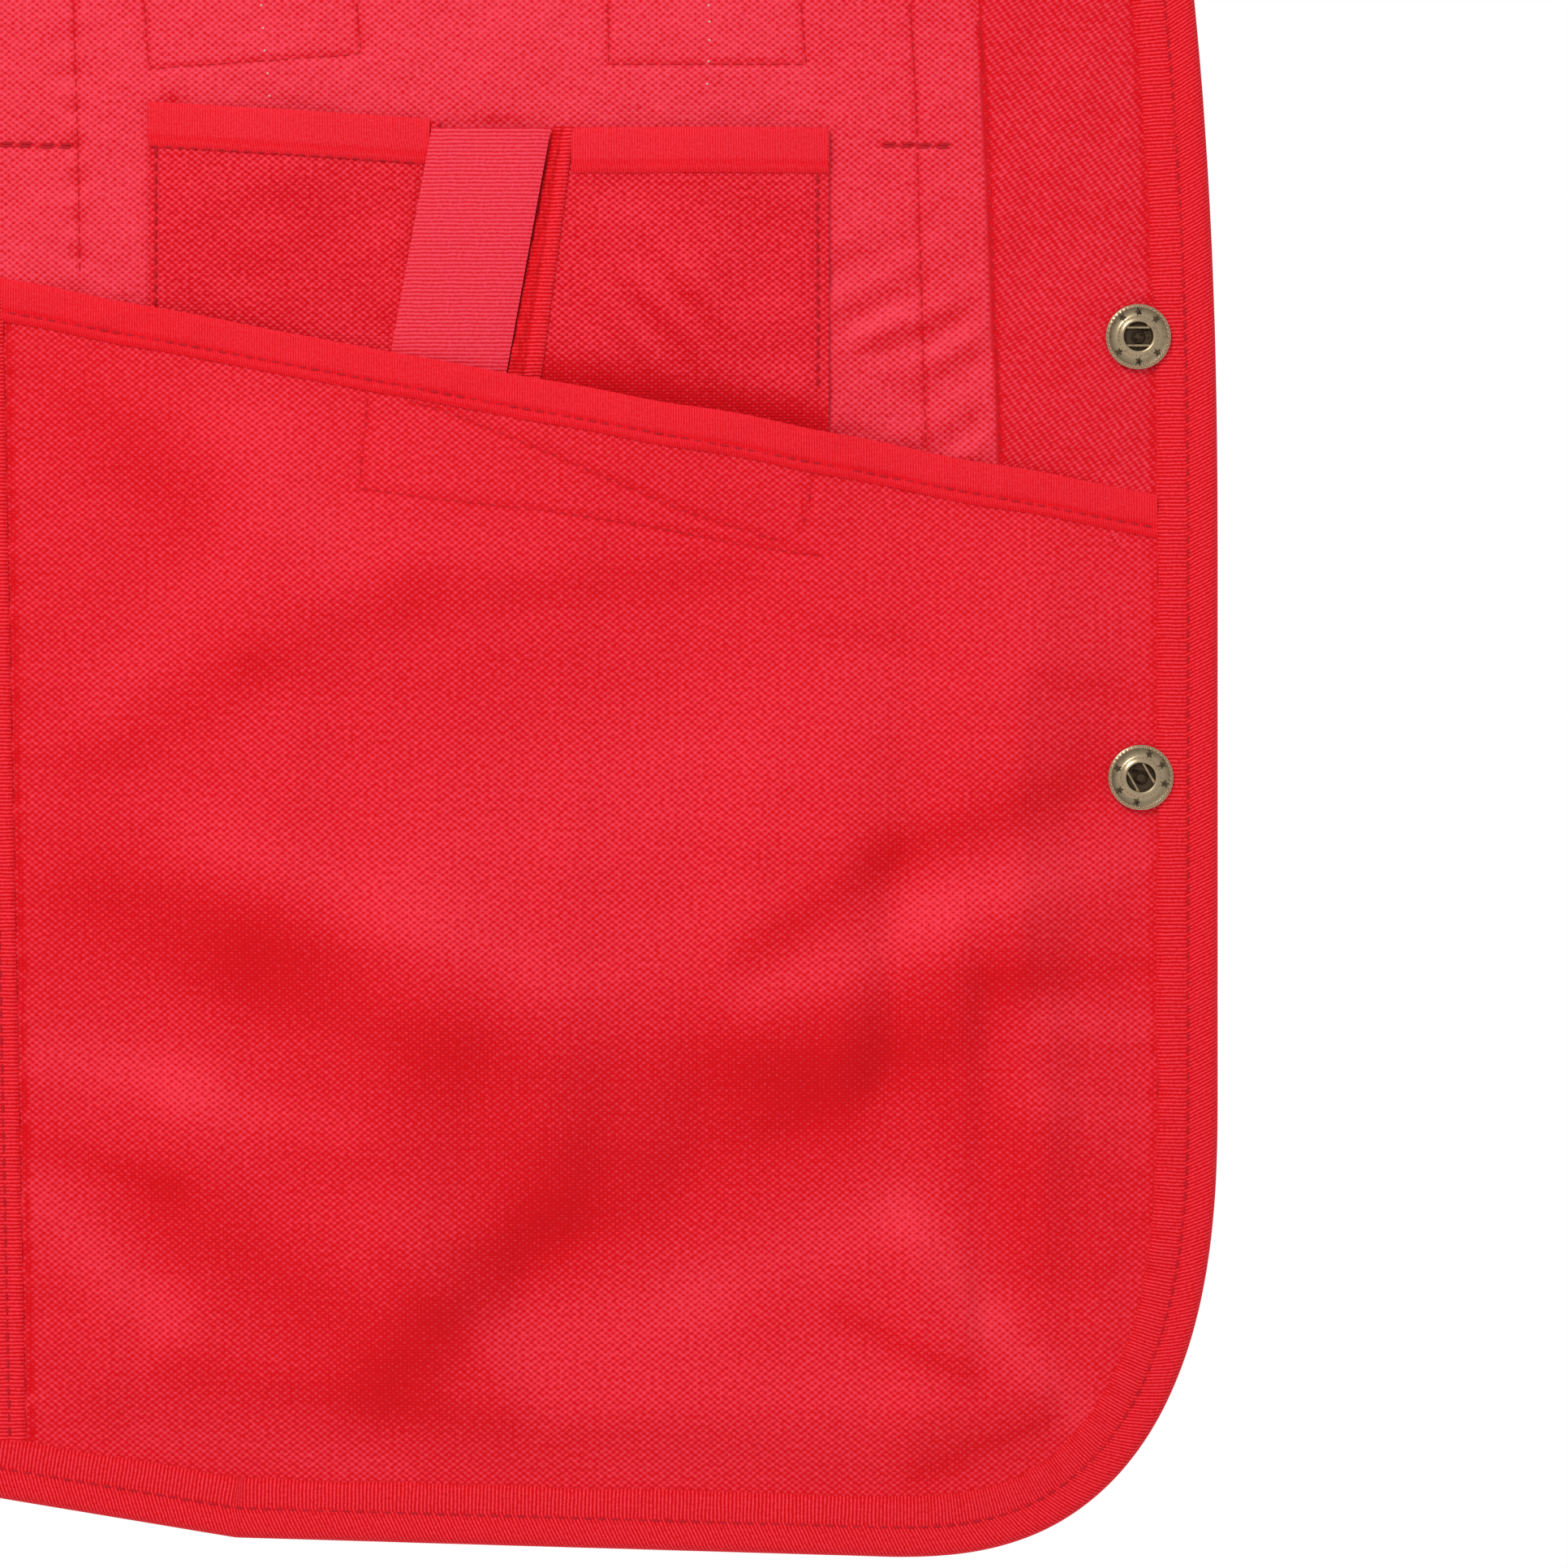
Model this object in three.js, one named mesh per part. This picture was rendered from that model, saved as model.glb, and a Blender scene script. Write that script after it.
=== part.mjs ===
import * as THREE from 'three';

// Sizes in millimetres. Heights are above the lowest point of the hem, the back of the
// vest is at +Y and the wearer's left at +X.

// Body of the vest
const vestLength = 655; // neck point above the hem
const armpitHeight = 390;
const chestHalfWidth = 212; // side seam from the middle
const chestHalfDepth = 152;
const neckHalfWidth = 75;
const shoulderHalfWidth = 200;
const shoulderDrop = 45; // shoulder point below the neck point
const backNeckDrop = 24;
const sideHemRise = 17.5; // hem at the side seams
const hemRiseWidth = 78; // the hem climbs along this stretch beside each side seam
const hemRiseStart = 4.5; // hem where that stretch begins

// Front panels
const frontWidth = 305; // side seam to front edge
const snapInset = 18; // snap line from the front edge, and the centre front line
const cornerWidth = 75;
const cornerHeight = 107;
const cornerPower = 2.55; // 2 is an ellipse, more is squarer
const leanStart = 229; // above this the front edge leans in towards the neck
const leanPower = 2.41;

// Left front, thrown open
const openTurnRadius = 12; // bend beside the side seam
const openFlatHeight = 362; // flat up to here, turning back to the shoulder above

// Cloth and tape
const clothWall = 1.2;
const pocketWall = 1.0;
const webbingWall = 1.2;
const tapeWall = 0.8;
const tapeWidth = 14.3; // front edge and hem tape, as seen from one side
const pieceGap = 0.3;
const snapClearance = 0.6; // a snap's seat over the tape
const postClearance = 0.95; // a post's, on the hollow side of the cloth
const studClearance = 0.35; // a stud's, on the full side
const pocketEdgeGap = 0.8; // large pocket's edge to the front and hem tape

// Large inner pocket
const largeMouthAtFront = 245; // top of the mouth tape beside the front tape
const largeMouthAtSide = 295;
const mouthTapeWidth = 10;
const largeSideTop = 281; // side tape's middle from the front edge, at the mouth
const largeSideBottom = 275;
const sideTapeWidth = 7.5;
const largeMouthLift = 4.2; // how far the middle of the mouth stands off the panel
const largePocketSwell = 6; // height of its fullest fold

// Small inner pockets and the webbing tab between them
const smallLeftSide = 247; // from the front edge
const smallLeftMouthSide = 335.5;
const smallLeftMouthTab = 331.5;
const smallRightFront = 90;
const smallRightSide = 149;
const smallRightMouth = 329.5;
const smallMouthTapeWidth = 10.5;
const tabWidth = 27.5;
const tabTop = 330;
const tabTopSide = 181.5;
const tabBottomSide = 191; // where it goes under the large pocket's mouth
const boundEdgeTopWidth = 5;
const boundEdgeBottomWidth = 8.5;
const tuckBelowMouth = 22; // small pockets end this far under the large mouth's top

// Outer patch pockets
const outerPocketFront = 68; // from the front edge
const outerPocketSide = 264;
const outerPocketTop = 326;
const outerPocketBottom = 30;

// Snaps
const snapDiameter = 15;
const snapSpacing = 101.7;
const lowestSnapHeight = 180.2;
const snapCount = 4;
const socketHeight = 2.4;
const socketHoleDiameter = 6.7;
const capHeight = 2.8;
const studDiameter = 13.5;
const studKnobDiameter = 6.2;
const studHeight = 4.4;
const postHeight = 1.4;
const snapSides = 14;

// Where the upper part of the open front runs, from the flat stretch to the shoulder seam.
// Arm values: x as a share of the shoulder half width, y of the chest half depth, z of the
// height from armpit to shoulder point. Edge values: x as a share of the front width beyond
// the side seam, y of the chest half depth, z of the height from flat stretch to neck point.
const openRows = [
  { armX: 1.060, armY: 0.000, armZ: -0.127, edgeX: 0.956, edgeY: 0.092, edgeZ: 0.000 },
  { armX: 1.060, armY: 0.000, armZ: 0.005, edgeX: 0.905, edgeY: 0.105, edgeZ: 0.135 },
  { armX: 1.000, armY: 0.100, armZ: 0.170, edgeX: 0.770, edgeY: 0.200, edgeZ: 0.285 },
  { armX: 0.960, armY: 0.165, armZ: 0.350, edgeX: 0.585, edgeY: 0.330, edgeZ: 0.425 },
  { armX: 0.930, armY: 0.200, armZ: 0.540, edgeX: 0.370, edgeY: 0.450, edgeZ: 0.555 },
  { armX: 0.930, armY: 0.190, armZ: 0.720, edgeX: 0.130, edgeY: 0.520, edgeZ: 0.680 },
  { armX: 0.955, armY: 0.140, armZ: 0.875, edgeX: -0.120, edgeY: 0.480, edgeZ: 0.815 },
  { armX: 0.985, armY: 0.065, armZ: 0.970, edgeX: -0.325, edgeY: 0.280, edgeZ: 0.945 },
  { armX: 1.000, armY: 0.000, armZ: 1.000, edgeX: -0.4492, edgeY: 0.000, edgeZ: 1.000 },
];

// Armhole edge of the closed panels: up is the share of the way from armpit to shoulder,
// out is the half width there as a share of the shoulder half width.
const armholeRows = [
  { up: 0.00, out: 1.060 },
  { up: 0.12, out: 0.960 },
  { up: 0.30, out: 0.890 },
  { up: 0.55, out: 0.865 },
  { up: 0.80, out: 0.920 },
  { up: 1.00, out: 1.000 },
];

// Soft folds of the large inner pocket. Along and up place the fold's middle, as shares of
// the front width from the front edge and of the mouth height at the side; long and broad
// are its half lengths as the same shares, turn is its direction from level in degrees and
// rise is its height as a share of the pocket's swell.
const pocketFolds = [
  { along: 0.62, up: 0.66, long: 0.22, broad: 0.11, turn: -18, rise: 0.75 },
  { along: 0.20, up: 0.63, long: 0.16, broad: 0.10, turn: 12, rise: 0.60 },
  { along: 0.78, up: 0.40, long: 0.12, broad: 0.16, turn: -40, rise: 0.55 },
  { along: 0.45, up: 0.40, long: 0.24, broad: 0.08, turn: -32, rise: 0.70 },
  { along: 0.47, up: 0.16, long: 0.17, broad: 0.08, turn: 8, rise: 0.60 },
  { along: 0.22, up: 0.30, long: 0.12, broad: 0.09, turn: 35, rise: 0.55 },
  { along: 0.84, up: 0.18, long: 0.08, broad: 0.10, turn: 10, rise: 0.35 },
];

const rimInset = tapeWall + pieceGap * 1.6; // cloth edge inside the fold of its tape
const normalStep = 0.004; // step for working out surface normals
const gatherStep = 0.012; // spacing of gathered columns, as a share of the tape's width
const neckLean = neckHalfWidth + snapInset;
const shoulderHeight = vestLength - shoulderDrop;
const seatHeight = vestLength - shoulderDrop / 2;

// Materials
function look(colour, roughness, metalness = 0) {
  return new THREE.MeshStandardMaterial({ color: colour, roughness, metalness });
}
const oxfordLook = () => look('#e2202f', 0.82);
const pocketLook = () => look('#d61b2b', 0.84);
const tapeLook = () => look('#cf1826', 0.78);
const webbingLook = () => look('#e6404f', 0.8);
const brassLook = () => look('#a5916f', 0.42, 0.9);

// Small helpers
const lerp = THREE.MathUtils.lerp;
const smooth = (x, from, to) => THREE.MathUtils.smoothstep(x, from, to);
const radians = THREE.MathUtils.degToRad;

// One closed body from points and triangles, turned so that its faces point outwards
function body(name, material, points, triangles) {
  const position = new Float32Array(points.flatMap((point) => point.toArray()));
  let volume = 0;
  for (const [a, b, c] of triangles) {
    volume += points[a].dot(points[b].clone().cross(points[c]));
  }
  const outward = volume > 0 ? triangles : triangles.map(([a, b, c]) => [a, c, b]);
  const geometry = new THREE.BufferGeometry();
  geometry.setAttribute('position', new THREE.BufferAttribute(position, 3));
  geometry.setIndex(outward.flat());
  geometry.computeVertexNormals();
  const mesh = new THREE.Mesh(geometry, material);
  mesh.name = name;
  return mesh;
}

// A surface is a function of two numbers; this adds its normal at that place
function spot(surface, u, v) {
  const across = surface(u + normalStep, v).sub(surface(u - normalStep, v));
  const along = surface(u, v + normalStep).sub(surface(u, v - normalStep));
  return { point: surface(u, v), normal: across.cross(along).normalize() };
}

// The spot part of the way from one to another, straight across
function between(from, to, share) {
  return {
    point: from.point.clone().lerp(to.point, share),
    normal: from.normal.clone().lerp(to.normal, share).normalize(),
  };
}

const raised = (place, lift) => place.point.clone().addScaledVector(place.normal, lift);

// A cloth wall between two copies of a grid of spots, lift away from the surface
function wall(name, material, grid, thickness, lift = 0) {
  const rows = grid.length;
  const columns = grid[0].length;
  const points = [];
  for (const side of [-thickness / 2, thickness / 2]) {
    for (const row of grid) {
      for (const place of row) points.push(raised(place, lift + side));
    }
  }
  const at = (layer, row, column) => layer * rows * columns + row * columns + column;
  const triangles = [];
  const quad = (a, b, c, d) => triangles.push([a, b, c], [a, c, d]);
  for (let row = 0; row + 1 < rows; row += 1) {
    for (let column = 0; column + 1 < columns; column += 1) {
      quad(at(0, row, column), at(0, row + 1, column),
        at(0, row + 1, column + 1), at(0, row, column + 1));
      quad(at(1, row, column), at(1, row, column + 1),
        at(1, row + 1, column + 1), at(1, row + 1, column));
    }
  }
  const rim = [];
  for (let column = 0; column < columns - 1; column += 1) rim.push([0, column]);
  for (let row = 0; row < rows - 1; row += 1) rim.push([row, columns - 1]);
  for (let column = columns - 1; column > 0; column -= 1) rim.push([rows - 1, column]);
  for (let row = rows - 1; row > 0; row -= 1) rim.push([row, 0]);
  rim.forEach(([row, column], index) => {
    const [nextRow, nextColumn] = rim[(index + 1) % rim.length];
    quad(at(0, row, column), at(0, nextRow, nextColumn),
      at(1, nextRow, nextColumn), at(1, row, column));
  });
  return body(name, material, points, triangles);
}

// Tape folded over an edge. A station has the edge and the tape's inner line, both as spots
// in the middle of the wrapped cloth. Its faces are split along the same diagonals as the
// cloth's: from the edge to the next inner line, or the other way.
function tape(name, stations, wrapped, width, { lift = 0, fromEdge = false } = {}) {
  const inside = wrapped / 2 + pieceGap;
  const outside = inside + tapeWall;
  const points = [];
  for (const { edge, inner } of stations) {
    const fold = between(edge, inner, tapeWall / width);
    points.push(
      raised(edge, lift - outside), raised(edge, lift + outside),
      raised(inner, lift + outside), raised(inner, lift + inside),
      raised(fold, lift + inside), raised(fold, lift - inside),
      raised(inner, lift - inside), raised(inner, lift - outside),
    );
  }
  const corners = 8;
  const triangles = [];
  for (let step = 0; step + 1 < stations.length; step += 1) {
    for (let corner = 0; corner < corners; corner += 1) {
      const a = step * corners + corner;
      const b = step * corners + (corner + 1) % corners;
      const startsAtEdge = corner % 4 === 1;
      if (startsAtEdge === fromEdge) {
        triangles.push([a, b, b + corners], [a, b + corners, a + corners]);
      } else {
        triangles.push([a, b, a + corners], [b, b + corners, a + corners]);
      }
    }
  }
  // The section's end is three strips: one leg, the fold and the other leg
  const end = [[1, 2, 3], [1, 3, 4], [0, 1, 4], [0, 4, 5], [0, 5, 6], [0, 6, 7]];
  const last = (stations.length - 1) * corners;
  for (const [a, b, c] of end) {
    triangles.push([a, c, b], [last + a, last + b, last + c]);
  }
  return body(name, tapeLook(), points, triangles);
}

// Outlines

// Height of the hem at a distance from the front edge; inset moves it into the panel
function frontHem(fromEdge, inset = 0) {
  if (fromEdge >= cornerWidth) return sideClimb(frontWidth - fromEdge) + inset;
  const reach = Math.min(1, (cornerWidth - fromEdge) / (cornerWidth - inset));
  const rounding = (1 - reach ** cornerPower) ** (1 / cornerPower);
  return cornerHeight - (cornerHeight - inset) * rounding;
}

// The hem's climb towards the side seam, from the distance to that seam
function sideClimb(fromSeam) {
  if (fromSeam < hemRiseWidth) {
    return lerp(sideHemRise, hemRiseStart, fromSeam / hemRiseWidth);
  }
  const rest = frontWidth - cornerWidth - hemRiseWidth;
  return hemRiseStart * Math.max(0, 1 - (fromSeam - hemRiseWidth) / rest);
}

// How far the front edge has leant in at a height
function lean(height) {
  const share = Math.max(0, (height - leanStart) / (vestLength - leanStart));
  return neckLean * share ** leanPower;
}

// Torso form

const quarterSteps = 180;
const quarterArc = [0];
for (let step = 1; step <= quarterSteps; step += 1) {
  const angle = ((step - 0.5) / quarterSteps) * (Math.PI / 2);
  const length = Math.hypot(chestHalfWidth * Math.cos(angle), chestHalfDepth * Math.sin(angle));
  quarterArc.push(quarterArc[step - 1] + (length * Math.PI) / 2 / quarterSteps);
}
const quarterLength = quarterArc[quarterSteps];

// Sideways place of a point from its share of the way round from the middle to the seam
function roundTo(share) {
  const length = Math.min(1, Math.abs(share)) * quarterLength;
  let step = quarterArc.findIndex((arc) => arc >= length);
  if (step < 1) step = 1;
  const part = (length - quarterArc[step - 1]) / (quarterArc[step] - quarterArc[step - 1]);
  const angle = ((step - 1 + part) / quarterSteps) * (Math.PI / 2);
  return { x: Math.sign(share) * chestHalfWidth * Math.sin(angle), depth: Math.cos(angle) };
}

// Height of the shoulder seam's line, run on across the neck
const shoulderLine = (x) => {
  const slope = shoulderDrop / (shoulderHalfWidth - neckHalfWidth);
  return vestLength + (neckHalfWidth - Math.abs(x)) * slope;
};

// Point of the torso's upper half, facing is 1 at the back and -1 at the front
function torso(x, z, facing) {
  const round = Math.sqrt(Math.max(0, 1 - (x / chestHalfWidth) ** 2));
  const up = Math.max(0, (z - armpitHeight) / (shoulderLine(x) - armpitHeight));
  const close = Math.sqrt(Math.max(0, 1 - up * up));
  return new THREE.Vector3(x, facing * (pieceGap / 2 + chestHalfDepth * round * close), z);
}

function armholeOut(up) {
  const next = Math.max(1, armholeRows.findIndex((row) => row.up >= Math.min(up, 1)));
  const low = armholeRows[next - 1];
  const high = armholeRows[next];
  const share = smooth(Math.min(up, 1), low.up, high.up);
  return shoulderHalfWidth * lerp(low.out, high.out, share);
}

// Below the armpit: round is the share of the way from the middle to a side seam
function lowerTorso(round, height, facing) {
  const { x, depth } = roundTo(round);
  return new THREE.Vector3(x, facing * (pieceGap / 2 + chestHalfDepth * depth), height);
}

// Closed front. Distance is measured from the front edge, and side is 1 for the wearer's
// left front or -1 for the right one.
const frontRound = frontWidth - snapInset;
const closedLower = (side) => (fromEdge, height) => {
  const place = lowerTorso((fromEdge - snapInset) / frontRound, height, -1);
  place.x *= side;
  return place;
};

// A row above the armpit, measured along the cloth: at gives the point a distance from its
// start. The curve takes a share from 0 to 1, and rows are kept once they are measured.
const rowSteps = 64;
function measured(curve) {
  const points = [];
  const lengths = [0];
  for (let step = 0; step <= rowSteps; step += 1) {
    points.push(curve(step / rowSteps));
    if (step) lengths.push(lengths[step - 1] + points[step].distanceTo(points[step - 1]));
  }
  const length = lengths[rowSteps];
  const shareAt = (distance) => {
    const next = lengths.findIndex((passed) => passed >= distance);
    const step = next < 0 ? rowSteps : Math.max(1, next);
    const part = (distance - lengths[step - 1]) / (lengths[step] - lengths[step - 1]);
    return (step - 1 + part) / rowSteps;
  };
  return { length, at: (distance) => curve(shareAt(distance)) };
}
function kept(rowAt) {
  const rows = new Map();
  return (up) => {
    if (!rows.has(up)) rows.set(up, rowAt(up));
    return rows.get(up);
  };
}
const angleAt = (x) => Math.asin(x / chestHalfWidth);
const riseAt = (up) => Math.sin((Math.min(1, up) * Math.PI) / 2);

// Rows of a closed front run from the front edge to the armhole. Up is 0 at the armpit and 1
// at the shoulder seam.
const closedRow = kept((up) => {
  const rise = riseAt(up);
  const edgeX = lean(lerp(armpitHeight, vestLength, rise)) - snapInset;
  const [from, to] = [angleAt(edgeX), angleAt(armholeOut(rise))];
  const [topFrom, topTo] = [angleAt(neckHalfWidth), angleAt(shoulderHalfWidth)];
  return measured((share) => {
    const x = chestHalfWidth * Math.sin(lerp(from, to, share));
    const top = shoulderLine(chestHalfWidth * Math.sin(lerp(topFrom, topTo, share)));
    return torso(x, lerp(armpitHeight, top, rise), -1);
  });
});
const closedUpper = (side) => (fromEdge, up) => {
  const place = closedRow(up).at(fromEdge);
  place.x *= side;
  return place;
};
const closedRowWidth = (up) => closedRow(up).length;

// Open front: flat beside a short bend at the side seam
const turnLength = (openTurnRadius * Math.PI) / 2;
const flatY = -openTurnRadius - pieceGap / 2;
function openLower(fromEdge, height) {
  const fromSeam = frontWidth - fromEdge;
  if (fromSeam < turnLength) {
    const angle = fromSeam / openTurnRadius;
    const x = chestHalfWidth + openTurnRadius * (1 - Math.cos(angle));
    return new THREE.Vector3(x, -pieceGap / 2 - openTurnRadius * Math.sin(angle), height);
  }
  const x = chestHalfWidth + openTurnRadius + fromSeam - turnLength;
  return new THREE.Vector3(x, flatY, height);
}

const openArm = new THREE.CatmullRomCurve3(openRows.map((row) => new THREE.Vector3(
  row.armX * shoulderHalfWidth,
  -pieceGap / 2 - row.armY * chestHalfDepth,
  lerp(armpitHeight, shoulderHeight, row.armZ),
)));
const openEdge = new THREE.CatmullRomCurve3(openRows.map((row) => new THREE.Vector3(
  chestHalfWidth + row.edgeX * frontWidth,
  -pieceGap / 2 - row.edgeY * chestHalfDepth,
  lerp(openFlatHeight, vestLength, row.edgeZ),
)));
function openUpper(fromEdge, up) {
  const arm = openArm.getPoint(THREE.MathUtils.clamp(up, 0, 1));
  arm.y = Math.min(arm.y, -pieceGap / 2);
  const edge = openEdge.getPoint(THREE.MathUtils.clamp(up, 0, 1));
  const width = arm.distanceTo(edge);
  const share = fromEdge / width;
  const bend = (1 - Math.exp(-(width - fromEdge) / (openTurnRadius / 2))) * share;
  const place = edge.clone().lerp(arm, share);
  place.y -= openTurnRadius * bend * (1 - smooth(up, 0, 0.4));
  return place;
}
const openRowWidth = (up) => openArm.getPoint(up).distanceTo(openEdge.getPoint(up));

// Columns of a front panel, from the side seam to the front edge
const pocketSteps = [0, 1, 2, 3, 4, 5, 6].map((step) => step / 6);
const pocketColumns = [
  ...pocketSteps.map((step) => lerp(outerPocketSide, outerPocketFront, step)), cornerWidth,
].sort((a, b) => b - a);
const frontColumns = [
  frontWidth, frontWidth - turnLength / 3, frontWidth - tapeWidth, frontWidth - turnLength,
  ...pocketColumns, cornerWidth * 0.66, cornerWidth * 0.42, cornerWidth * 0.28,
  tapeWidth, cornerWidth * 0.11, cornerWidth * 0.05, rimInset,
].sort((a, b) => b - a);

// Rows above the flat or upright part, from its top to the shoulder seam
const closedSteps = [0.015, 0.045, 0.09, 0.2, 0.33, 0.46, 0.6, 0.74, 0.87, 0.96, 1];
const openSteps = [0.065, 0.13, 0.2, 0.3, 0.4, 0.5, 0.6, 0.67, 0.71, 0.75, 0.8, 0.86, 0.93, 1];
const rightFront = {
  lower: closedLower(-1), upper: closedUpper(-1), rowWidth: closedRowWidth,
  lowerTop: armpitHeight, steps: closedSteps, armholeStart: closedSteps[0],
};
const leftFront = {
  lower: openLower, upper: openUpper, rowWidth: openRowWidth,
  lowerTop: openFlatHeight, steps: openSteps, armholeStart: openSteps[1],
};

// A spot of a column on a narrower row above. Under the tapes, which keep their width, the
// panel runs straight from their inner line to its rim, and spare columns gather at that line.
const gathered = (share) => lerp(1 - 2 * gatherStep, 1 - gatherStep, share);
function columnSpot(front, fromEdge, up) {
  const width = front.rowWidth(up);
  if (fromEdge < tapeWidth) {
    const { edge, inner } = frontEdgeStation(front, up);
    const share = fromEdge / tapeWidth;
    return between(edge, inner, fromEdge > rimInset ? gathered(share) : share);
  }
  const fromSeam = frontWidth - fromEdge;
  if (fromSeam < tapeWidth) {
    const { edge, inner } = armholeStation(front, up);
    if (up < front.armholeStart) return between(edge, inner, fromSeam / tapeWidth);
    const share = Math.max(rimInset, fromSeam) / tapeWidth;
    return between(edge, inner, fromSeam > rimInset ? gathered(share) : share);
  }
  const share = (fromEdge - tapeWidth) / (frontWidth - 2 * tapeWidth);
  return upperSpot(front, lerp(tapeWidth, width - tapeWidth, share), up);
}
const frontEdgeStation = (front, up) => ({
  edge: upperSpot(front, 0, up), inner: upperSpot(front, tapeWidth, up),
});
const armholeStation = (front, up) => {
  const width = front.rowWidth(up);
  return { edge: upperSpot(front, width, up), inner: upperSpot(front, width - tapeWidth, up) };
};

// Spot on a front below the armpit, where the whole panel follows the lean of its edge
function lowerSpot(front, fromEdge, height) {
  return spot(front.lower, fromEdge + lean(height) * (1 - fromEdge / frontWidth), height);
}

// Spot above it, kept just inside the shoulder seam so that it has a normal
function upperSpot(front, fromEdge, up) {
  return spot(front.upper, fromEdge, Math.min(up, 1 - normalStep));
}

// Grid of a front panel from its hem to its shoulder seam
const lowerShares = [0, 1, 2, 3, 4, 5].map((step) => step / 5);
function frontGrid(front) {
  const heights = (fromEdge) => {
    const rim = frontHem(fromEdge, rimInset);
    const tapeLine = Math.max(frontHem(fromEdge, tapeWidth), rim + tapeWall * 4);
    return [rim, ...lowerShares.map((share) => lerp(tapeLine, front.lowerTop, share))];
  };
  const columns = frontColumns.map((fromEdge) => [
    ...heights(fromEdge).map((height) => lowerSpot(front, fromEdge, height)),
    ...front.steps.map((up) => columnSpot(front, fromEdge, up)),
  ]);
  return columns[0].map((_, row) => columns.map((column) => column[row]));
}

// Stations of the tape along the hem, round the corner and up the front edge
function frontStations(front) {
  const pair = (fromEdge, height, innerFromEdge, innerHeight) => ({
    edge: lowerSpot(front, fromEdge, height),
    inner: lowerSpot(front, innerFromEdge, innerHeight),
  });
  const hem = frontColumns.filter((fromEdge) => fromEdge > cornerWidth).map((fromEdge) => (
    pair(fromEdge, frontHem(fromEdge), fromEdge, frontHem(fromEdge, tapeWidth))
  ));
  const cornerSteps = 9;
  const corner = [];
  for (let step = 0; step <= cornerSteps; step += 1) {
    const angle = (step / cornerSteps) * (Math.PI / 2);
    const along = Math.max(0, Math.sin(angle)) ** (2 / cornerPower);
    const down = Math.max(0, Math.cos(angle)) ** (2 / cornerPower);
    const place = (inset) => [
      cornerWidth - (cornerWidth - inset) * along,
      cornerHeight - (cornerHeight - inset) * down,
    ];
    corner.push(pair(...place(0), ...place(tapeWidth)));
  }
  const rise = lowerShares.slice(1).map((share) => {
    const height = lerp(cornerHeight, front.lowerTop, share);
    return pair(0, height, tapeWidth, height);
  });
  const upper = front.steps.map((up) => frontEdgeStation(front, up));
  return [...hem, ...corner, ...rise, ...upper];
}

function frontArmholeStations(front) {
  const steps = front.steps.filter((up) => up >= front.armholeStart);
  return steps.map((up) => armholeStation(front, up));
}

// Back panel. Across is the distance from the middle, measured round the lower body.
const neckLine = (x) => {
  const drop = Math.cos((Math.PI / 2) * Math.min(1, Math.abs(x) / neckHalfWidth)) ** 2;
  return Math.min(vestLength, shoulderLine(x)) - backNeckDrop * drop;
};
const backRow = kept((up) => {
  const rise = riseAt(up);
  const reach = angleAt(armholeOut(rise));
  return measured((share) => {
    const x = chestHalfWidth * Math.sin(reach * share);
    const top = neckLine(chestHalfWidth * Math.sin(angleAt(shoulderHalfWidth) * share));
    return torso(x, lerp(armpitHeight, top, rise), 1);
  });
});
const neckLength = measured((share) => (
  torso(neckHalfWidth * share, neckLine(neckHalfWidth * share), 1)
)).length;
const neckColumn = (neckLength * (frontRound - tapeWidth)) / (backRow(1).length - tapeWidth);
const neckColumns = [0, 0.25, 0.5, 0.75, 0.97].map((share) => share * neckColumn);
const shoulderColumns = [0.01, 0.27, 0.5, 0.72, 0.9].map((share) => (
  lerp(neckColumn, frontRound - tapeWidth, share)
));
const halfColumns = [
  ...neckColumns, ...shoulderColumns,
  frontRound - tapeWidth, frontRound - tapeWidth / 2, frontRound,
];
const mirrored = (columns) => [
  ...columns.slice(1).reverse().map((across) => -across), ...columns,
];
const backColumns = mirrored(halfColumns);
const backHem = (across) => sideClimb(frontRound - Math.abs(across));
const backLower = (across, height) => lowerTorso(across / frontRound, height, 1);

// Above the armpit, with the row's own width
function backUpper(across, up) {
  const row = backRow(up);
  const distance = Math.abs(across) < frontRound - tapeWidth
    ? (Math.abs(across) * (row.length - tapeWidth)) / (frontRound - tapeWidth)
    : row.length - frontRound + Math.abs(across);
  const place = row.at(distance);
  if (across < 0) place.x *= -1;
  return place;
}
const backSpot = (across, up) => spot(backUpper, across, Math.min(up, 1 - normalStep));
const backArmholeStation = (side, up) => ({
  edge: backSpot(side * frontRound, up),
  inner: backSpot(side * (frontRound - tapeWidth), up),
});

// The neck tape's inner line lies its width down the cloth from the neckline
function neckStation(across) {
  const surface = (x, z) => torso(x, z, 1);
  const edge = backSpot(across, 1);
  const { x, z: top } = edge.point;
  let low = top - tapeWidth;
  let high = top;
  while (high - low > normalStep) {
    const middle = (low + high) / 2;
    if (surface(x, middle).distanceTo(edge.point) > tapeWidth) low = middle;
    else high = middle;
  }
  return { edge, inner: backSpot(across, innerRow(across, low)) };
}

// The row on which a column passes a height
function innerRow(across, height) {
  const top = backUpper(across, 1).z;
  return (Math.asin((height - armpitHeight) / (top - armpitHeight)) * 2) / Math.PI;
}

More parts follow.
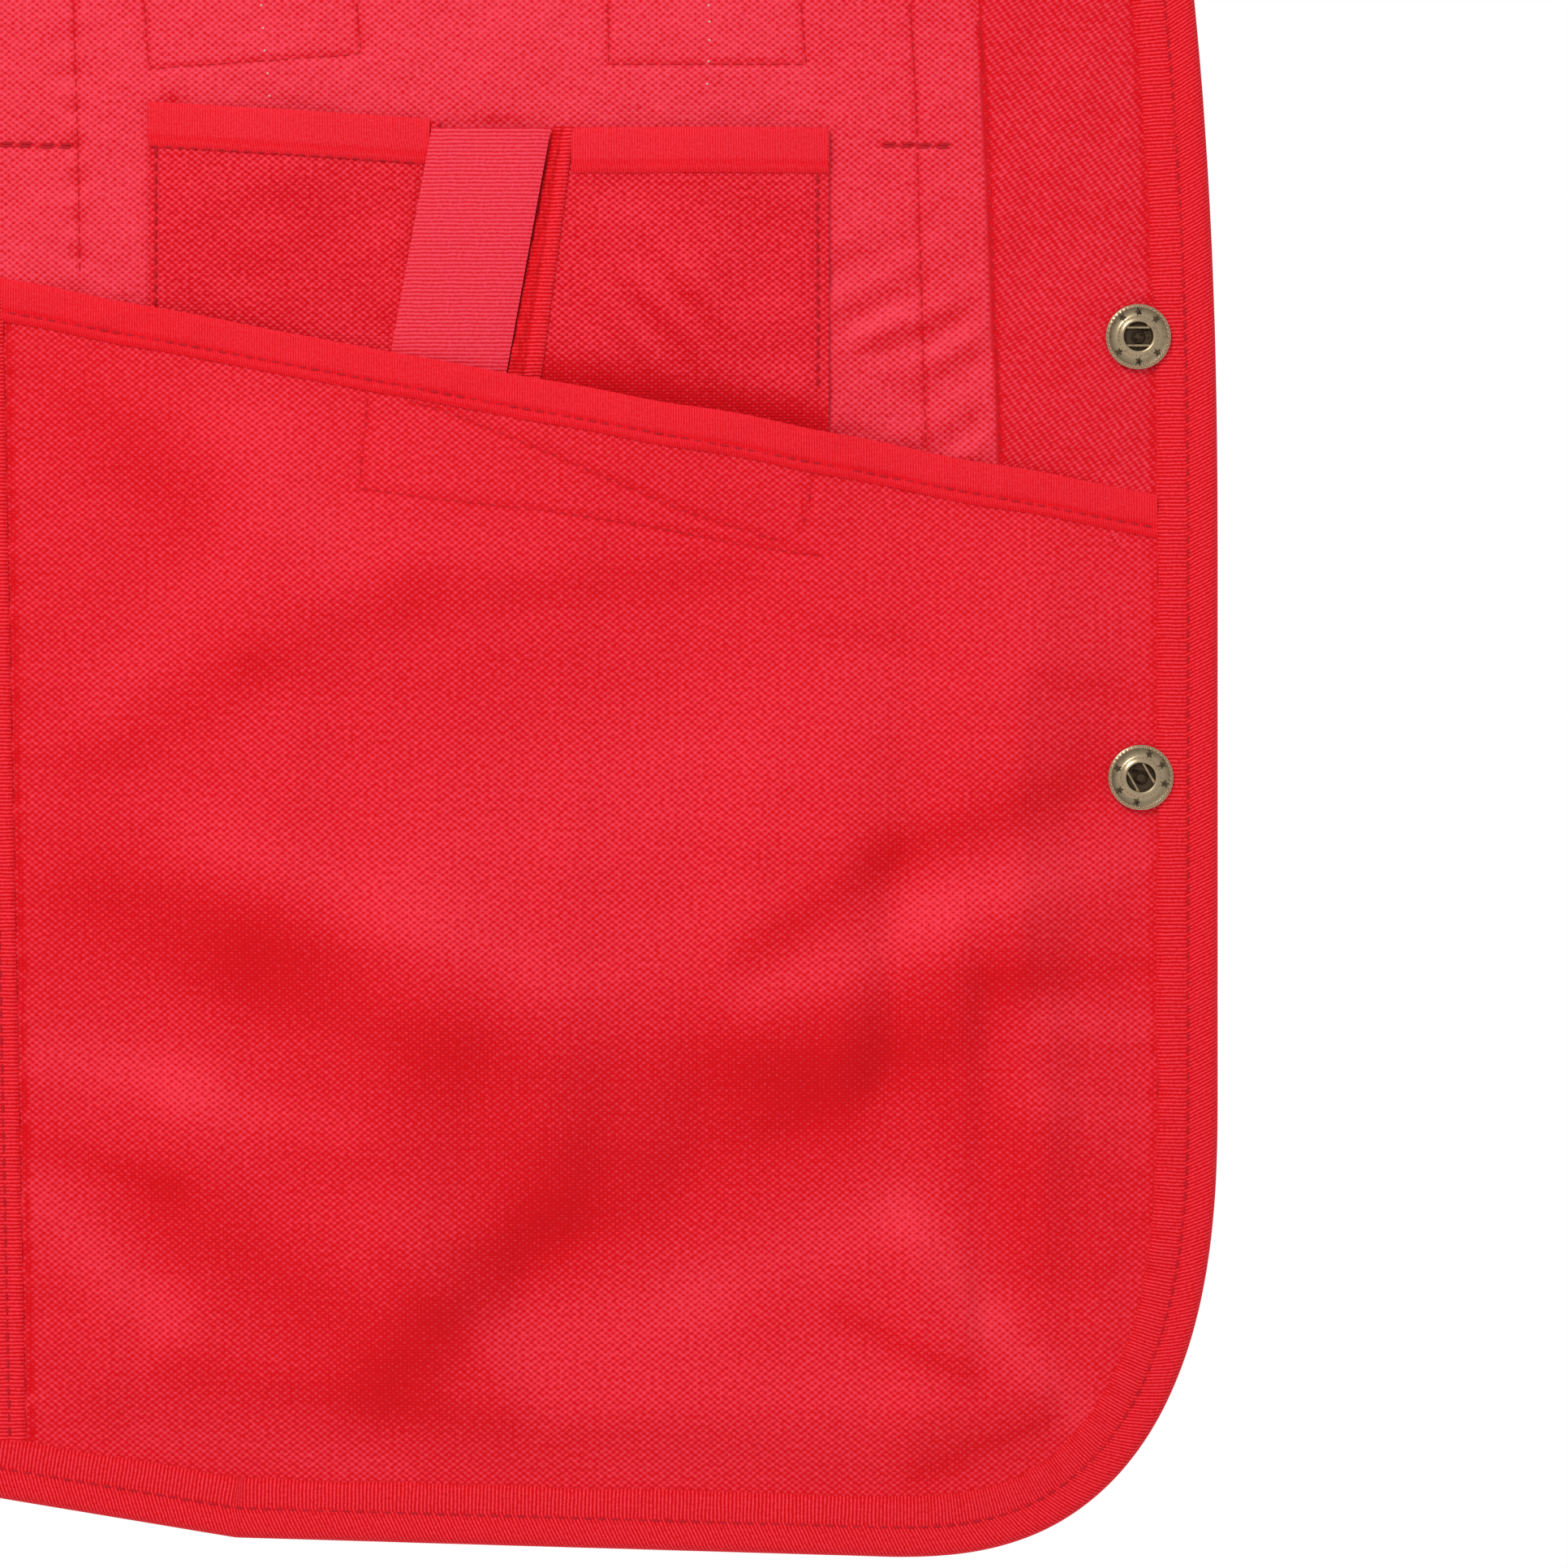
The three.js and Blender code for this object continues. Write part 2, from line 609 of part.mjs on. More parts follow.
// Upper spots of one column, with the last two rows under the neck tape where there is one
function backColumn(across) {
  const side = Math.sign(across);
  const fromSeam = frontRound - Math.abs(across);
  if (fromSeam < tapeWidth) {
    const share = Math.max(rimInset, fromSeam) / tapeWidth;
    return closedSteps.map((up) => {
      const { edge, inner } = backArmholeStation(side, up);
      return between(edge, inner, fromSeam > rimInset ? gathered(share) : share);
    });
  }
  if (Math.abs(across) > neckColumn) return closedSteps.map((up) => backSpot(across, up));
  const { edge, inner } = neckStation(across);
  const under = innerRow(across, inner.point.z);
  return [
    ...closedSteps.slice(0, -2).map((up) => backSpot(across, up * under)),
    inner, between(edge, inner, rimInset / tapeWidth),
  ];
}

function backGrid() {
  const columns = backColumns.map((across) => {
    const hem = backHem(across);
    const heights = [
      hem + rimInset,
      ...lowerShares.map((share) => lerp(hem + tapeWidth, armpitHeight, share)),
    ];
    return [
      ...heights.map((height) => spot(backLower, across, height)), ...backColumn(across),
    ];
  });
  return columns[0].map((_, row) => columns.map((column) => column[row]));
}

const backHemStations = () => backColumns.map((across) => ({
  edge: spot(backLower, across, backHem(across)),
  inner: spot(backLower, across, backHem(across) + tapeWidth),
}));
const backArmholeStations = (side) => closedSteps.map((up) => backArmholeStation(side, up));
const neckStations = () => mirrored(neckColumns).map(neckStation);

// Pieces on the flat part of the open front's inside. Lift is measured off its middle.
const seat = clothWall / 2 + pieceGap;
const tapeLift = (wrapped) => seat + tapeWall + pieceGap + wrapped / 2;
function insideSpot(fromEdge, height, lift) {
  const place = openLower(Math.min(fromEdge, frontWidth - turnLength), height);
  place.y -= lift;
  return { point: place, normal: new THREE.Vector3(0, -1, 0) };
}
const spotOn = (liftAt) => (fromEdge, height) => {
  const surface = (a, b) => insideSpot(a, b, liftAt(a, b)).point;
  const found = spot(surface, fromEdge, height);
  if (found.normal.y > 0) found.normal.negate();
  return found;
};

// Large pocket
const sideFrom = (height) => (
  lerp(largeSideBottom, largeSideTop, height / largeMouthAtSide)
);
const mouthAt = (fromEdge) => {
  const share = (fromEdge - tapeWidth) / (largeSideTop - tapeWidth);
  return lerp(largeMouthAtFront, largeMouthAtSide, share);
};
const pocketRestLift = seat + pocketWall / 2;

function pocketLift(fromEdge, height) {
  const under = mouthAt(fromEdge) - height;
  const overTab = smooth(fromEdge, tapeWidth, smallRightFront)
    * (1 - smooth(fromEdge, smallLeftSide, largeSideTop));
  const mouthLift = lerp(tapeLift(pocketWall), largeMouthLift, overTab);
  const nearMouth = 1 - smooth(under, mouthTapeWidth, mouthTapeWidth * 4.5);
  const fromSide = sideFrom(height) - fromEdge;
  const nearSide = 1 - smooth(fromSide, sideTapeWidth / 2, sideTapeWidth * 3);
  let lift = pocketRestLift;
  lift += (mouthLift - pocketRestLift) * nearMouth;
  lift = Math.max(lift, lerp(pocketRestLift, tapeLift(pocketWall), nearSide));
  const hemLine = frontHem(fromEdge, tapeWidth);
  const free = smooth(fromEdge - snapInset - snapDiameter / 2, 0, tapeWidth * 2)
    * smooth(fromSide, sideTapeWidth, sideTapeWidth * 4)
    * smooth(height - hemLine, 0, tapeWidth * 2)
    * smooth(under, mouthTapeWidth, mouthTapeWidth * 3);
  return lift + largePocketSwell * free * foldRise(fromEdge, height);
}

function foldRise(fromEdge, height) {
  return pocketFolds.reduce((rise, fold) => {
    const x = fromEdge - fold.along * frontWidth;
    const y = height - fold.up * largeMouthAtSide;
    const turn = radians(fold.turn);
    const along = (x * Math.cos(turn) - y * Math.sin(turn)) / (fold.long * frontWidth);
    const across = (x * Math.sin(turn) + y * Math.cos(turn)) / (fold.broad * largeMouthAtSide);
    return rise + fold.rise * Math.exp(-along * along - across * across);
  }, 0);
}

const pocketRim = tapeWall + pieceGap;
const pocketStart = tapeWidth + pocketEdgeGap;
const largeAcross = [0, 0.06, 0.13, 0.2, 0.27, 0.34, 0.41, 0.48, 0.55, 0.62, 0.69, 0.76, 0.83,
  0.89, 0.95, 1];
const largeUp = [0, 0.1, 0.2, 0.3, 0.4, 0.5, 0.6, 0.7, 0.78, 0.86, 0.93, 1];

// Place on the large pocket: across runs from the front tape to the side tape's inner line,
// up from the hem tape to the mouth tape's inner line
function largePlace(across, up) {
  const guess = lerp(pocketStart, largeSideBottom, across);
  const top = mouthAt(guess) - mouthTapeWidth;
  const height = lerp(frontHem(guess, pocketStart), top, up);
  return [lerp(pocketStart, sideFrom(height) - sideTapeWidth / 2, across), height];
}
const onLarge = (place) => spotOn(pocketLift)(...place);
const shifted = ([fromEdge, height], out, rise) => [fromEdge + out, height + rise];

function largePocketGrid() {
  const toRim = mouthTapeWidth - pocketRim;
  const outToRim = sideTapeWidth - pocketRim;
  const line = (up, rise) => [
    ...largeAcross.map((across) => onLarge(shifted(largePlace(across, up), 0, rise))),
    onLarge(shifted(largePlace(1, up), outToRim, rise)),
  ];
  return [...largeUp.map((up) => line(up, 0)), line(1, toRim)];
}

const mouthStations = () => largeAcross.map((across) => {
  const inner = shifted(largePlace(across, 1), across === 1 ? -pieceGap : 0, 0);
  return { edge: onLarge(shifted(inner, 0, mouthTapeWidth)), inner: onLarge(inner) };
});

const sideTapeStations = () => [...largeUp, 1].map((up, index) => {
  const inner = shifted(largePlace(1, up), 0, index === largeUp.length ? mouthTapeWidth : 0);
  return { edge: onLarge(shifted(inner, sideTapeWidth, 0)), inner: onLarge(inner) };
});

// Evenly spread stations of a tape along a line of edge and inner places
function stationsAlong(count, onSurface, placeAt) {
  const stations = [];
  for (let step = 0; step <= count; step += 1) {
    const { edge, inner } = placeAt(step / count);
    stations.push({ edge: onSurface(...edge), inner: onSurface(...inner) });
  }
  return stations;
}

// Small pockets and the tab
const tabSlope = (tabBottomSide - tabTopSide) / (tabTop - mouthAt(tabBottomSide));
const tabSide = (height) => tabTopSide + (tabTop - height) * tabSlope;
const boundSide = (height) => tabSide(height) - tabWidth - pieceGap;
const boundFront = (height) => {
  const share = (tabTop - height) / (tabTop - mouthAt(smallRightSide));
  return boundSide(height) - lerp(boundEdgeTopWidth, boundEdgeBottomWidth, share);
};

// Corners of a small pocket: its sides from the front edge at a height, and its mouth
const smallPockets = {
  left: {
    side: () => smallLeftSide,
    front: (height) => tabSide(height) + pieceGap,
    mouth: (fromEdge) => {
      const share = (smallLeftSide - fromEdge) / (smallLeftSide - tabTopSide);
      return lerp(smallLeftMouthSide, smallLeftMouthTab, share);
    },
  },
  right: {
    side: (height) => boundFront(height) - pieceGap,
    front: () => smallRightFront,
    mouth: () => smallRightMouth,
  },
};
const smallLift = (pocket) => (fromEdge, height) => {
  const under = pocket.mouth(fromEdge) - height;
  const nearMouth = 1 - smooth(under, smallMouthTapeWidth, smallMouthTapeWidth * 3);
  return lerp(pocketRestLift, tapeLift(pocketWall), nearMouth);
};

function smallPocketGrid(pocket) {
  const onPocket = spotOn(smallLift(pocket));
  const shares = [0, 0.3, 0.5, 0.7, 0.85, 1];
  const columns = 5;
  return shares.map((up) => {
    const line = [];
    for (let column = 0; column <= columns; column += 1) {
      const across = column / columns;
      const guess = lerp(pocket.front(smallRightMouth), pocket.side(smallRightMouth), across);
      const top = pocket.mouth(guess) - pocketRim;
      const height = lerp(mouthAt(guess) - tuckBelowMouth, top, up);
      line.push(onPocket(lerp(pocket.front(height), pocket.side(height), across), height));
    }
    return line;
  });
}

function smallMouthStations(pocket) {
  return stationsAlong(6, spotOn(smallLift(pocket)), (share) => {
    const topOf = (height) => lerp(pocket.front(height), pocket.side(height), share);
    const fromEdge = topOf(smallRightMouth);
    const top = pocket.mouth(fromEdge);
    const low = top - smallMouthTapeWidth;
    return { edge: [fromEdge, top], inner: [topOf(low), low] };
  });
}

// Flat strip between two side lines, from under the large mouth up to a height
function stripGrid(front, side, bottomAt, top, lift) {
  const onPanel = spotOn(() => lift);
  return [0, 0.5, 1].map((up) => [0, 0.5, 1].map((across) => {
    const bottom = bottomAt(lerp(front(top), side(top), across));
    const height = lerp(bottom, top, up);
    return onPanel(lerp(front(height), side(height), across), height);
  }));
}

// Outer patch pocket, on the outside of a front
function outerPocketGrid(front, outward) {
  const shares = [0, 0.25, 0.5, 0.75, 1];
  return shares.map((up) => pocketColumns.map((fromEdge) => {
    const height = lerp(outerPocketBottom, outerPocketTop - pocketRim, up);
    const place = lowerSpot(front, fromEdge, height);
    if (place.normal.dot(outward(place.point)) < 0) place.normal.negate();
    return place;
  }));
}
function outerMouthStations(front, outward) {
  return pocketColumns.map((fromEdge) => {
    const at = (height) => {
      const place = lowerSpot(front, fromEdge, height);
      if (place.normal.dot(outward(place.point)) < 0) place.normal.negate();
      return place;
    };
    return { edge: at(outerPocketTop), inner: at(outerPocketTop - mouthTapeWidth) };
  });
}
const awayFromBody = (point) => new THREE.Vector3(point.x, point.y, 0);
const towardsBack = () => new THREE.Vector3(0, 1, 0);

// Snaps. A profile is turned about its axis, y 0 is its seat and it points away from it.
function turned(name, profile) {
  const points = profile.map(([radius, height]) => new THREE.Vector2(radius, height));
  const mesh = new THREE.Mesh(new THREE.LatheGeometry(points, snapSides), brassLook());
  mesh.name = name;
  return mesh;
}

const snapRadius = snapDiameter / 2;
const holeRadius = socketHoleDiameter / 2;
const socket = (name) => turned(name, [
  [0, 0], [snapRadius * 0.94, 0], [snapRadius, socketHeight * 0.25],
  [snapRadius * 0.96, socketHeight * 0.55], [snapRadius * 0.6, socketHeight * 0.7],
  [holeRadius * 1.3, socketHeight], [holeRadius, socketHeight * 0.92],
  [holeRadius * 0.95, socketHeight * 0.35], [0, socketHeight * 0.35],
]);
const cap = (name) => turned(name, [
  [0, 0], [snapRadius * 0.96, 0], [snapRadius, capHeight * 0.22],
  [snapRadius * 0.86, capHeight * 0.62], [snapRadius * 0.5, capHeight * 0.92], [0, capHeight],
]);
const stud = (name) => turned(name, [
  [0, 0], [studDiameter / 2, 0], [studDiameter / 2, studHeight * 0.22],
  [studKnobDiameter * 0.56, studHeight * 0.34], [studKnobDiameter * 0.44, studHeight * 0.6],
  [studKnobDiameter / 2, studHeight * 0.8], [studKnobDiameter * 0.38, studHeight],
  [0, studHeight],
]);
const post = (name) => turned(name, [
  [0, 0], [studDiameter * 0.42, 0], [studDiameter * 0.42, postHeight * 0.5],
  [studDiameter * 0.3, postHeight], [0, postHeight],
]);

// Seats a turned piece over a spot, side is 1 along its normal and -1 against it
function seated(mesh, place, side, clearance = snapClearance) {
  const away = place.normal.clone().multiplyScalar(side);
  const lift = seat + tapeWall + clearance;
  mesh.position.copy(place.point).addScaledVector(away, lift);
  mesh.quaternion.setFromUnitVectors(new THREE.Vector3(0, 1, 0), away);
  return mesh;
}

// Spot on a front at the snap inset, so far up along the front edge
function snapSpot(front, index) {
  const height = lowestSnapHeight + index * snapSpacing;
  if (height < front.lowerTop) return lowerSpot(front, snapInset, height);
  const wanted = height - front.lowerTop;
  let length = 0;
  let up = 0;
  let last = front.upper(snapInset, 0);
  while (length < wanted && up < 1) {
    up += normalStep;
    const next = front.upper(snapInset, up);
    length += next.distanceTo(last);
    last = next;
  }
  return upperSpot(front, snapInset, up);
}

// The whole vest. It hangs from the shoulders, so its origin is the middle between them.
const vest = new THREE.Group();
vest.position.z = -seatHeight;
const add = (mesh) => vest.add(mesh);

add(wall('back_panel', oxfordLook(), backGrid(), clothWall));
add(wall('left_front_panel', oxfordLook(), frontGrid(leftFront), clothWall));
add(wall('right_front_panel', oxfordLook(), frontGrid(rightFront), clothWall));

const fromEdge = true;
add(tape('back_hem_binding', backHemStations(), clothWall, tapeWidth, { fromEdge }));
add(tape('neck_binding', neckStations(), clothWall, tapeWidth));
add(tape('left_front_binding', frontStations(leftFront), clothWall, tapeWidth));
add(tape('right_front_binding', frontStations(rightFront), clothWall, tapeWidth));
for (const [name, stations, along] of [
  ['left_front', frontArmholeStations(leftFront), { fromEdge }],
  ['right_front', frontArmholeStations(rightFront), { fromEdge }],
  ['left_back', backArmholeStations(1), {}],
  ['right_back', backArmholeStations(-1), { fromEdge }],
]) {
  add(tape(`${name}_armhole_binding`, stations, clothWall, tapeWidth, along));
}

add(wall('large_inner_pocket', pocketLook(), largePocketGrid(), pocketWall));
add(tape('large_pocket_mouth_binding', mouthStations(), pocketWall, mouthTapeWidth));
add(tape('large_pocket_side_tape', sideTapeStations(), pocketWall, sideTapeWidth));
for (const [side, pocket] of Object.entries(smallPockets)) {
  const name = `small_pocket_${side}`;
  add(wall(name, pocketLook(), smallPocketGrid(pocket), pocketWall));
  add(tape(`${name}_binding`, smallMouthStations(pocket), pocketWall, smallMouthTapeWidth));
}
const tabGrid = stripGrid(
  (height) => tabSide(height) - tabWidth, tabSide,
  (fromEdge) => mouthAt(fromEdge) - mouthTapeWidth, tabTop, seat + webbingWall / 2,
);
add(wall('webbing_tab', webbingLook(), tabGrid, webbingWall));
const boundGrid = stripGrid(
  boundFront, boundSide,
  (fromEdge) => mouthAt(fromEdge) - mouthTapeWidth, tabTop, seat + webbingWall / 2,
);
add(wall('small_pocket_bound_edge', tapeLook(), boundGrid, webbingWall));

const outerMouthLift = tapeLift(clothWall);
for (const [side, front, outward] of [
  ['left', leftFront, towardsBack], ['right', rightFront, awayFromBody],
]) {
  const name = `outer_pocket_${side}`;
  add(wall(name, oxfordLook(), outerPocketGrid(front, outward), clothWall, outerMouthLift));
  add(tape(`${name}_binding`, outerMouthStations(front, outward), clothWall, mouthTapeWidth,
    { lift: outerMouthLift }));
}

for (let index = 0; index < snapCount; index += 1) {
  const number = index + 1;
  const left = snapSpot(leftFront, index);
  const right = snapSpot(rightFront, index);
  add(seated(socket(`snap_socket_${number}`), left, -1));
  add(seated(cap(`snap_cap_${number}`), left, 1));
  add(seated(stud(`snap_stud_${number}`), right, -1, studClearance));
  add(seated(post(`snap_post_${number}`), right, 1, postClearance));
}

export default vest;
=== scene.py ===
import math

import bpy
import numpy as np
from mathutils import Matrix, Vector


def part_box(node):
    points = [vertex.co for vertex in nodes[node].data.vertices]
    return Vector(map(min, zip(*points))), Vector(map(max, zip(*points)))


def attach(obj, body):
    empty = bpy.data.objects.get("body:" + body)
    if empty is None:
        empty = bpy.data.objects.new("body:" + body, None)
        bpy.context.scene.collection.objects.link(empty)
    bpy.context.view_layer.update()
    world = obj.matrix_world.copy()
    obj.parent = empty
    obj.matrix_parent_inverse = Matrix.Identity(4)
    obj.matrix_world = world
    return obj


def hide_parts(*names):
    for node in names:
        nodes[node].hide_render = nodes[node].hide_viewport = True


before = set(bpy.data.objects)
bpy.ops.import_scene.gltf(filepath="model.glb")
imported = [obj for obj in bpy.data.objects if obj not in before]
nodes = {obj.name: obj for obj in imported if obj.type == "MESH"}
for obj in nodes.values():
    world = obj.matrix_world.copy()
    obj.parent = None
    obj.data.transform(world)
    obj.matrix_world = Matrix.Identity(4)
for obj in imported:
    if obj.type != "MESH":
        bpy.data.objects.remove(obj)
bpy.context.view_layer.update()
print("vest: frame loaded,", len(nodes), "nodes")

# Camera: square on to the inside of the open front
picture = {"width": 0.36225, "distance": 1.5, "fromEdge": 0.1003, "aboveHem": 0.1787, "sensor": 36.0}
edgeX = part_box("left_front_binding")[1].x
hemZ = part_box("left_front_binding")[0].z
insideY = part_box("webbing_tab")[1].y + 0.0003  # inside face of the open front

cameraData = bpy.data.cameras.new("vestCamera")
cameraData.sensor_width = picture["sensor"]
cameraData.lens = picture["sensor"] * picture["distance"] / picture["width"]
camera = bpy.data.objects.new("vestCamera", cameraData)
camera.location = (edgeX - picture["fromEdge"], insideY - picture["distance"], hemZ + picture["aboveHem"])
camera.rotation_euler = (math.radians(90), 0, 0)
bpy.context.scene.collection.objects.link(camera)
bpy.context.scene.camera = camera
bpy.context.scene.view_settings.view_transform = "Standard"


# Small helpers
def clearSelection():
    if bpy.context.mode != "OBJECT":
        bpy.ops.object.mode_set(mode="OBJECT")
    bpy.ops.object.select_all(action="DESELECT")


def pick(piece):
    clearSelection()
    piece.select_set(True)
    bpy.context.view_layer.objects.active = piece


def applyModifiers(piece):
    pick(piece)
    for name in [modifier.name for modifier in piece.modifiers]:
        bpy.ops.object.modifier_apply(modifier=name)


def smoothShade(piece, degrees=45):
    pick(piece)
    bpy.ops.object.shade_smooth_by_angle(angle=math.radians(degrees))


def placesOf(mesh):
    flat = np.zeros(len(mesh.vertices) * 3)
    mesh.vertices.foreach_get("co", flat)
    return flat.reshape(-1, 3)


def setPlaces(mesh, places):
    mesh.vertices.foreach_set("co", np.ascontiguousarray(places, dtype=float).ravel())
    mesh.update()


def setWeaveMap(mesh, across, up):
    # one map in metres, so that threads keep their size
    layer = mesh.uv_layers[0] if mesh.uv_layers else mesh.uv_layers.new(name="weave")
    layer.name = "weave"
    corners = np.zeros(len(mesh.loops), dtype=int)
    mesh.loops.foreach_get("vertex_index", corners)
    layer.data.foreach_set("uv", np.stack([across[corners], up[corners]], 1).ravel())


def setShade(mesh, name, values):
    layer = mesh.attributes.get(name) or mesh.attributes.new(name, "FLOAT", "POINT")
    layer.data.foreach_set("value", np.ascontiguousarray(values, dtype=float))


def peak(value, middle, width):
    # 1 at the middle, falling to 0 beside it
    return np.exp(-((value - middle) / width) ** 2)


def wave(run, length, shift=0.0):
    return np.sin(2 * math.pi * run / length + shift)


def ripple(across, up, scale, seed, stretch=1.0):
    # soft unevenness of about -1 to 1
    chance = np.random.default_rng(seed)
    total = np.zeros_like(across, dtype=float)
    for _ in range(6):
        turn = chance.uniform(0, math.pi)
        length = scale * chance.uniform(0.7, 1.7)
        along = across * math.cos(turn) + up * math.sin(turn) / stretch
        total += wave(along, length, chance.uniform(0, 6.28))
    return total / 3.2


def easeIn(value, start, end):
    share = np.clip((value - start) / (end - start), 0, 1)
    return share * share * (3 - 2 * share)


def lerp(first, last, share):
    return first + (last - first) * share


def copyOf(source):
    piece = source.copy()
    piece.data = source.data.copy()
    bpy.context.scene.collection.objects.link(piece)
    return piece


def meshPiece(name, places, faces):
    mesh = bpy.data.meshes.new(name)
    mesh.from_pydata(np.concatenate(places).tolist(), [], faces)
    piece = bpy.data.objects.new(mesh.name, mesh)
    bpy.context.scene.collection.objects.link(piece)
    return piece


def startGrid(name, columns, rows):
    # a grid and the two shares, from 0 to 1, of its vertices
    clearSelection()
    bpy.ops.mesh.primitive_grid_add(x_subdivisions=columns, y_subdivisions=rows, size=2)
    piece = bpy.context.object
    piece.name = name
    shares = (placesOf(piece.data) + 1) / 2
    return piece, shares[:, 0], shares[:, 1]


def giveWall(piece, thickness):
    wall = piece.modifiers.new("wall", "SOLIDIFY")
    wall.thickness, wall.offset = thickness / 1000, -1
    applyModifiers(piece)
    smoothShade(piece)


def startEdit():
    bpy.ops.object.mode_set(mode="EDIT")
    bpy.ops.mesh.select_all(action="SELECT")


def endEdit():
    # every face looks outwards
    bpy.ops.mesh.select_all(action="SELECT")
    bpy.ops.mesh.normals_make_consistent(inside=False)
    bpy.ops.object.mode_set(mode="OBJECT")


def finishPiece(piece, material, replaced=()):
    piece.data.materials.clear()
    piece.data.materials.append(material)
    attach(piece, "root")
    if replaced:
        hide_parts(*replaced)
    return piece


# Materials
def makeGroup(name, inputs, outputs):
    tree = bpy.data.node_groups.new(name, "ShaderNodeTree")
    for label, kind, value in inputs:
        socket = tree.interface.new_socket(name=label, in_out="INPUT", socket_type="NodeSocket" + kind)
        if value is not None:
            socket.default_value = value
    for label, kind in outputs:
        tree.interface.new_socket(name=label, in_out="OUTPUT", socket_type="NodeSocket" + kind)
    return tree, tree.nodes.new("NodeGroupInput").outputs, tree.nodes.new("NodeGroupOutput").inputs


def calc(tree, operation, first, second=None, third=None):
    node = tree.nodes.new("ShaderNodeMath")
    node.operation = operation
    for place, value in enumerate((first, second, third)):
        if value is None:
            continue
        if isinstance(value, (int, float)):
            node.inputs[place].default_value = value
        else:
            tree.links.new(value, node.inputs[place])
    return node.outputs[0]


def blendColours(tree, share, first, second):
    node = tree.nodes.new("ShaderNodeMix")
    node.data_type = "RGBA"
    for socket, value in ((node.inputs[0], share), (node.inputs[6], first), (node.inputs[7], second)):
        if isinstance(value, (tuple, int, float)):
            socket.default_value = value
        else:
            tree.links.new(value, socket)
    return node.outputs[2]


def grainNoise(tree, vector, scale, detail=2.0):
    node = tree.nodes.new("ShaderNodeTexNoise")
    node.inputs["Scale"].default_value = scale
    node.inputs["Detail"].default_value = detail
    tree.links.new(vector, node.inputs["Vector"])
    return node.outputs["Fac"]


def makeThreads():
    tree, given, out = makeGroup(
        "wovenThreads",
        [("Vector", "Vector", None), ("Cell Width", "Float", 0.0009), ("Cell Height", "Float", 0.0007),
         ("Waviness", "Float", 0.25)],
        [("Threads", "Float"), ("Height", "Float")])
    split = tree.nodes.new("ShaderNodeSeparateXYZ")
    tree.links.new(given["Vector"], split.inputs[0])
    sway = calc(tree, "MULTIPLY", grainNoise(tree, given["Vector"], 160.0), given["Waviness"])
    across = calc(tree, "ADD", calc(tree, "DIVIDE", split.outputs[0], given["Cell Width"]), sway)
    up = calc(tree, "ADD", calc(tree, "DIVIDE", split.outputs[1], given["Cell Height"]), sway)
    warp = calc(tree, "SINE", calc(tree, "MULTIPLY", across, math.pi))
    weft = calc(tree, "SINE", calc(tree, "MULTIPLY", up, math.pi))
    over = calc(tree, "MULTIPLY", warp, weft)
    uneven = calc(tree, "SUBTRACT", grainNoise(tree, given["Vector"], 900.0, 1.0), 0.5)
    threads = calc(tree, "MULTIPLY_ADD", over, 0.42, 0.5)
    tree.links.new(calc(tree, "MULTIPLY_ADD", uneven, 0.8, threads), out["Threads"])
    tree.links.new(calc(tree, "MULTIPLY_ADD", calc(tree, "ABSOLUTE", over), 0.6, threads), out["Height"])
    return tree


def makeRibs():
    tree, given, out = makeGroup(
        "tapeRibs",
        [("Vector", "Vector", None), ("Pitch", "Float", 0.00087), ("Slant", "Float", 0.25),
         ("Halfway", "Float", 0.0075)],
        [("Threads", "Float"), ("Height", "Float")])
    split = tree.nodes.new("ShaderNodeSeparateXYZ")
    tree.links.new(given["Vector"], split.inputs[0])
    past = calc(tree, "MAXIMUM", calc(tree, "SUBTRACT", split.outputs[1], given["Halfway"]), 0.0)
    slanted = calc(tree, "MULTIPLY_ADD", past, given["Slant"], split.outputs[0])
    sway = calc(tree, "MULTIPLY", grainNoise(tree, given["Vector"], 220.0), 0.5)
    turns = calc(tree, "ADD", calc(tree, "DIVIDE", slanted, given["Pitch"]), sway)
    ribs = calc(tree, "SINE", calc(tree, "MULTIPLY", turns, 2 * math.pi))
    uneven = calc(tree, "SUBTRACT", grainNoise(tree, given["Vector"], 1400.0, 1.0), 0.5)
    threads = calc(tree, "MULTIPLY_ADD", ribs, 0.36, 0.5)
    tree.links.new(calc(tree, "MULTIPLY_ADD", uneven, 0.9, threads), out["Threads"])
    tree.links.new(threads, out["Height"])
    return tree


def makeDyeAndShade():
    tree, given, out = makeGroup(
        "dyedAndShadedCloth",
        [("Vector", "Vector", None), ("Light", "Color", (0.8, 0.02, 0.04, 1)),
         ("Deep", "Color", (0.6, 0.01, 0.02, 1)), ("Threads", "Float", 0.5), ("Painted Shade And Tone", "Float", 0.0),
         ("Contrast", "Float", 0.3), ("Roughness", "Float", 0.8)],
        [("Color", "Color"), ("Roughness", "Float")])
    broad = calc(tree, "SUBTRACT", grainNoise(tree, given["Vector"], 26.0, 3.0), 0.5)
    share = calc(tree, "MULTIPLY_ADD", calc(tree, "SUBTRACT", given["Threads"], 0.5), given["Contrast"], 0.5)
    share = calc(tree, "MULTIPLY_ADD", broad, 0.2, share)
    # the next input adds painted shade from folds, seams and tape edges, and the cloth's own tone
    share = calc(tree, "ADD", share, given["Painted Shade And Tone"])
    held = calc(tree, "MINIMUM", calc(tree, "MAXIMUM", share, 0.0), 1.0)
    tree.links.new(blendColours(tree, held, given["Deep"], given["Light"]), out["Color"])
    tree.links.new(calc(tree, "MULTIPLY_ADD", broad, 0.2, given["Roughness"]), out["Roughness"])
    return tree


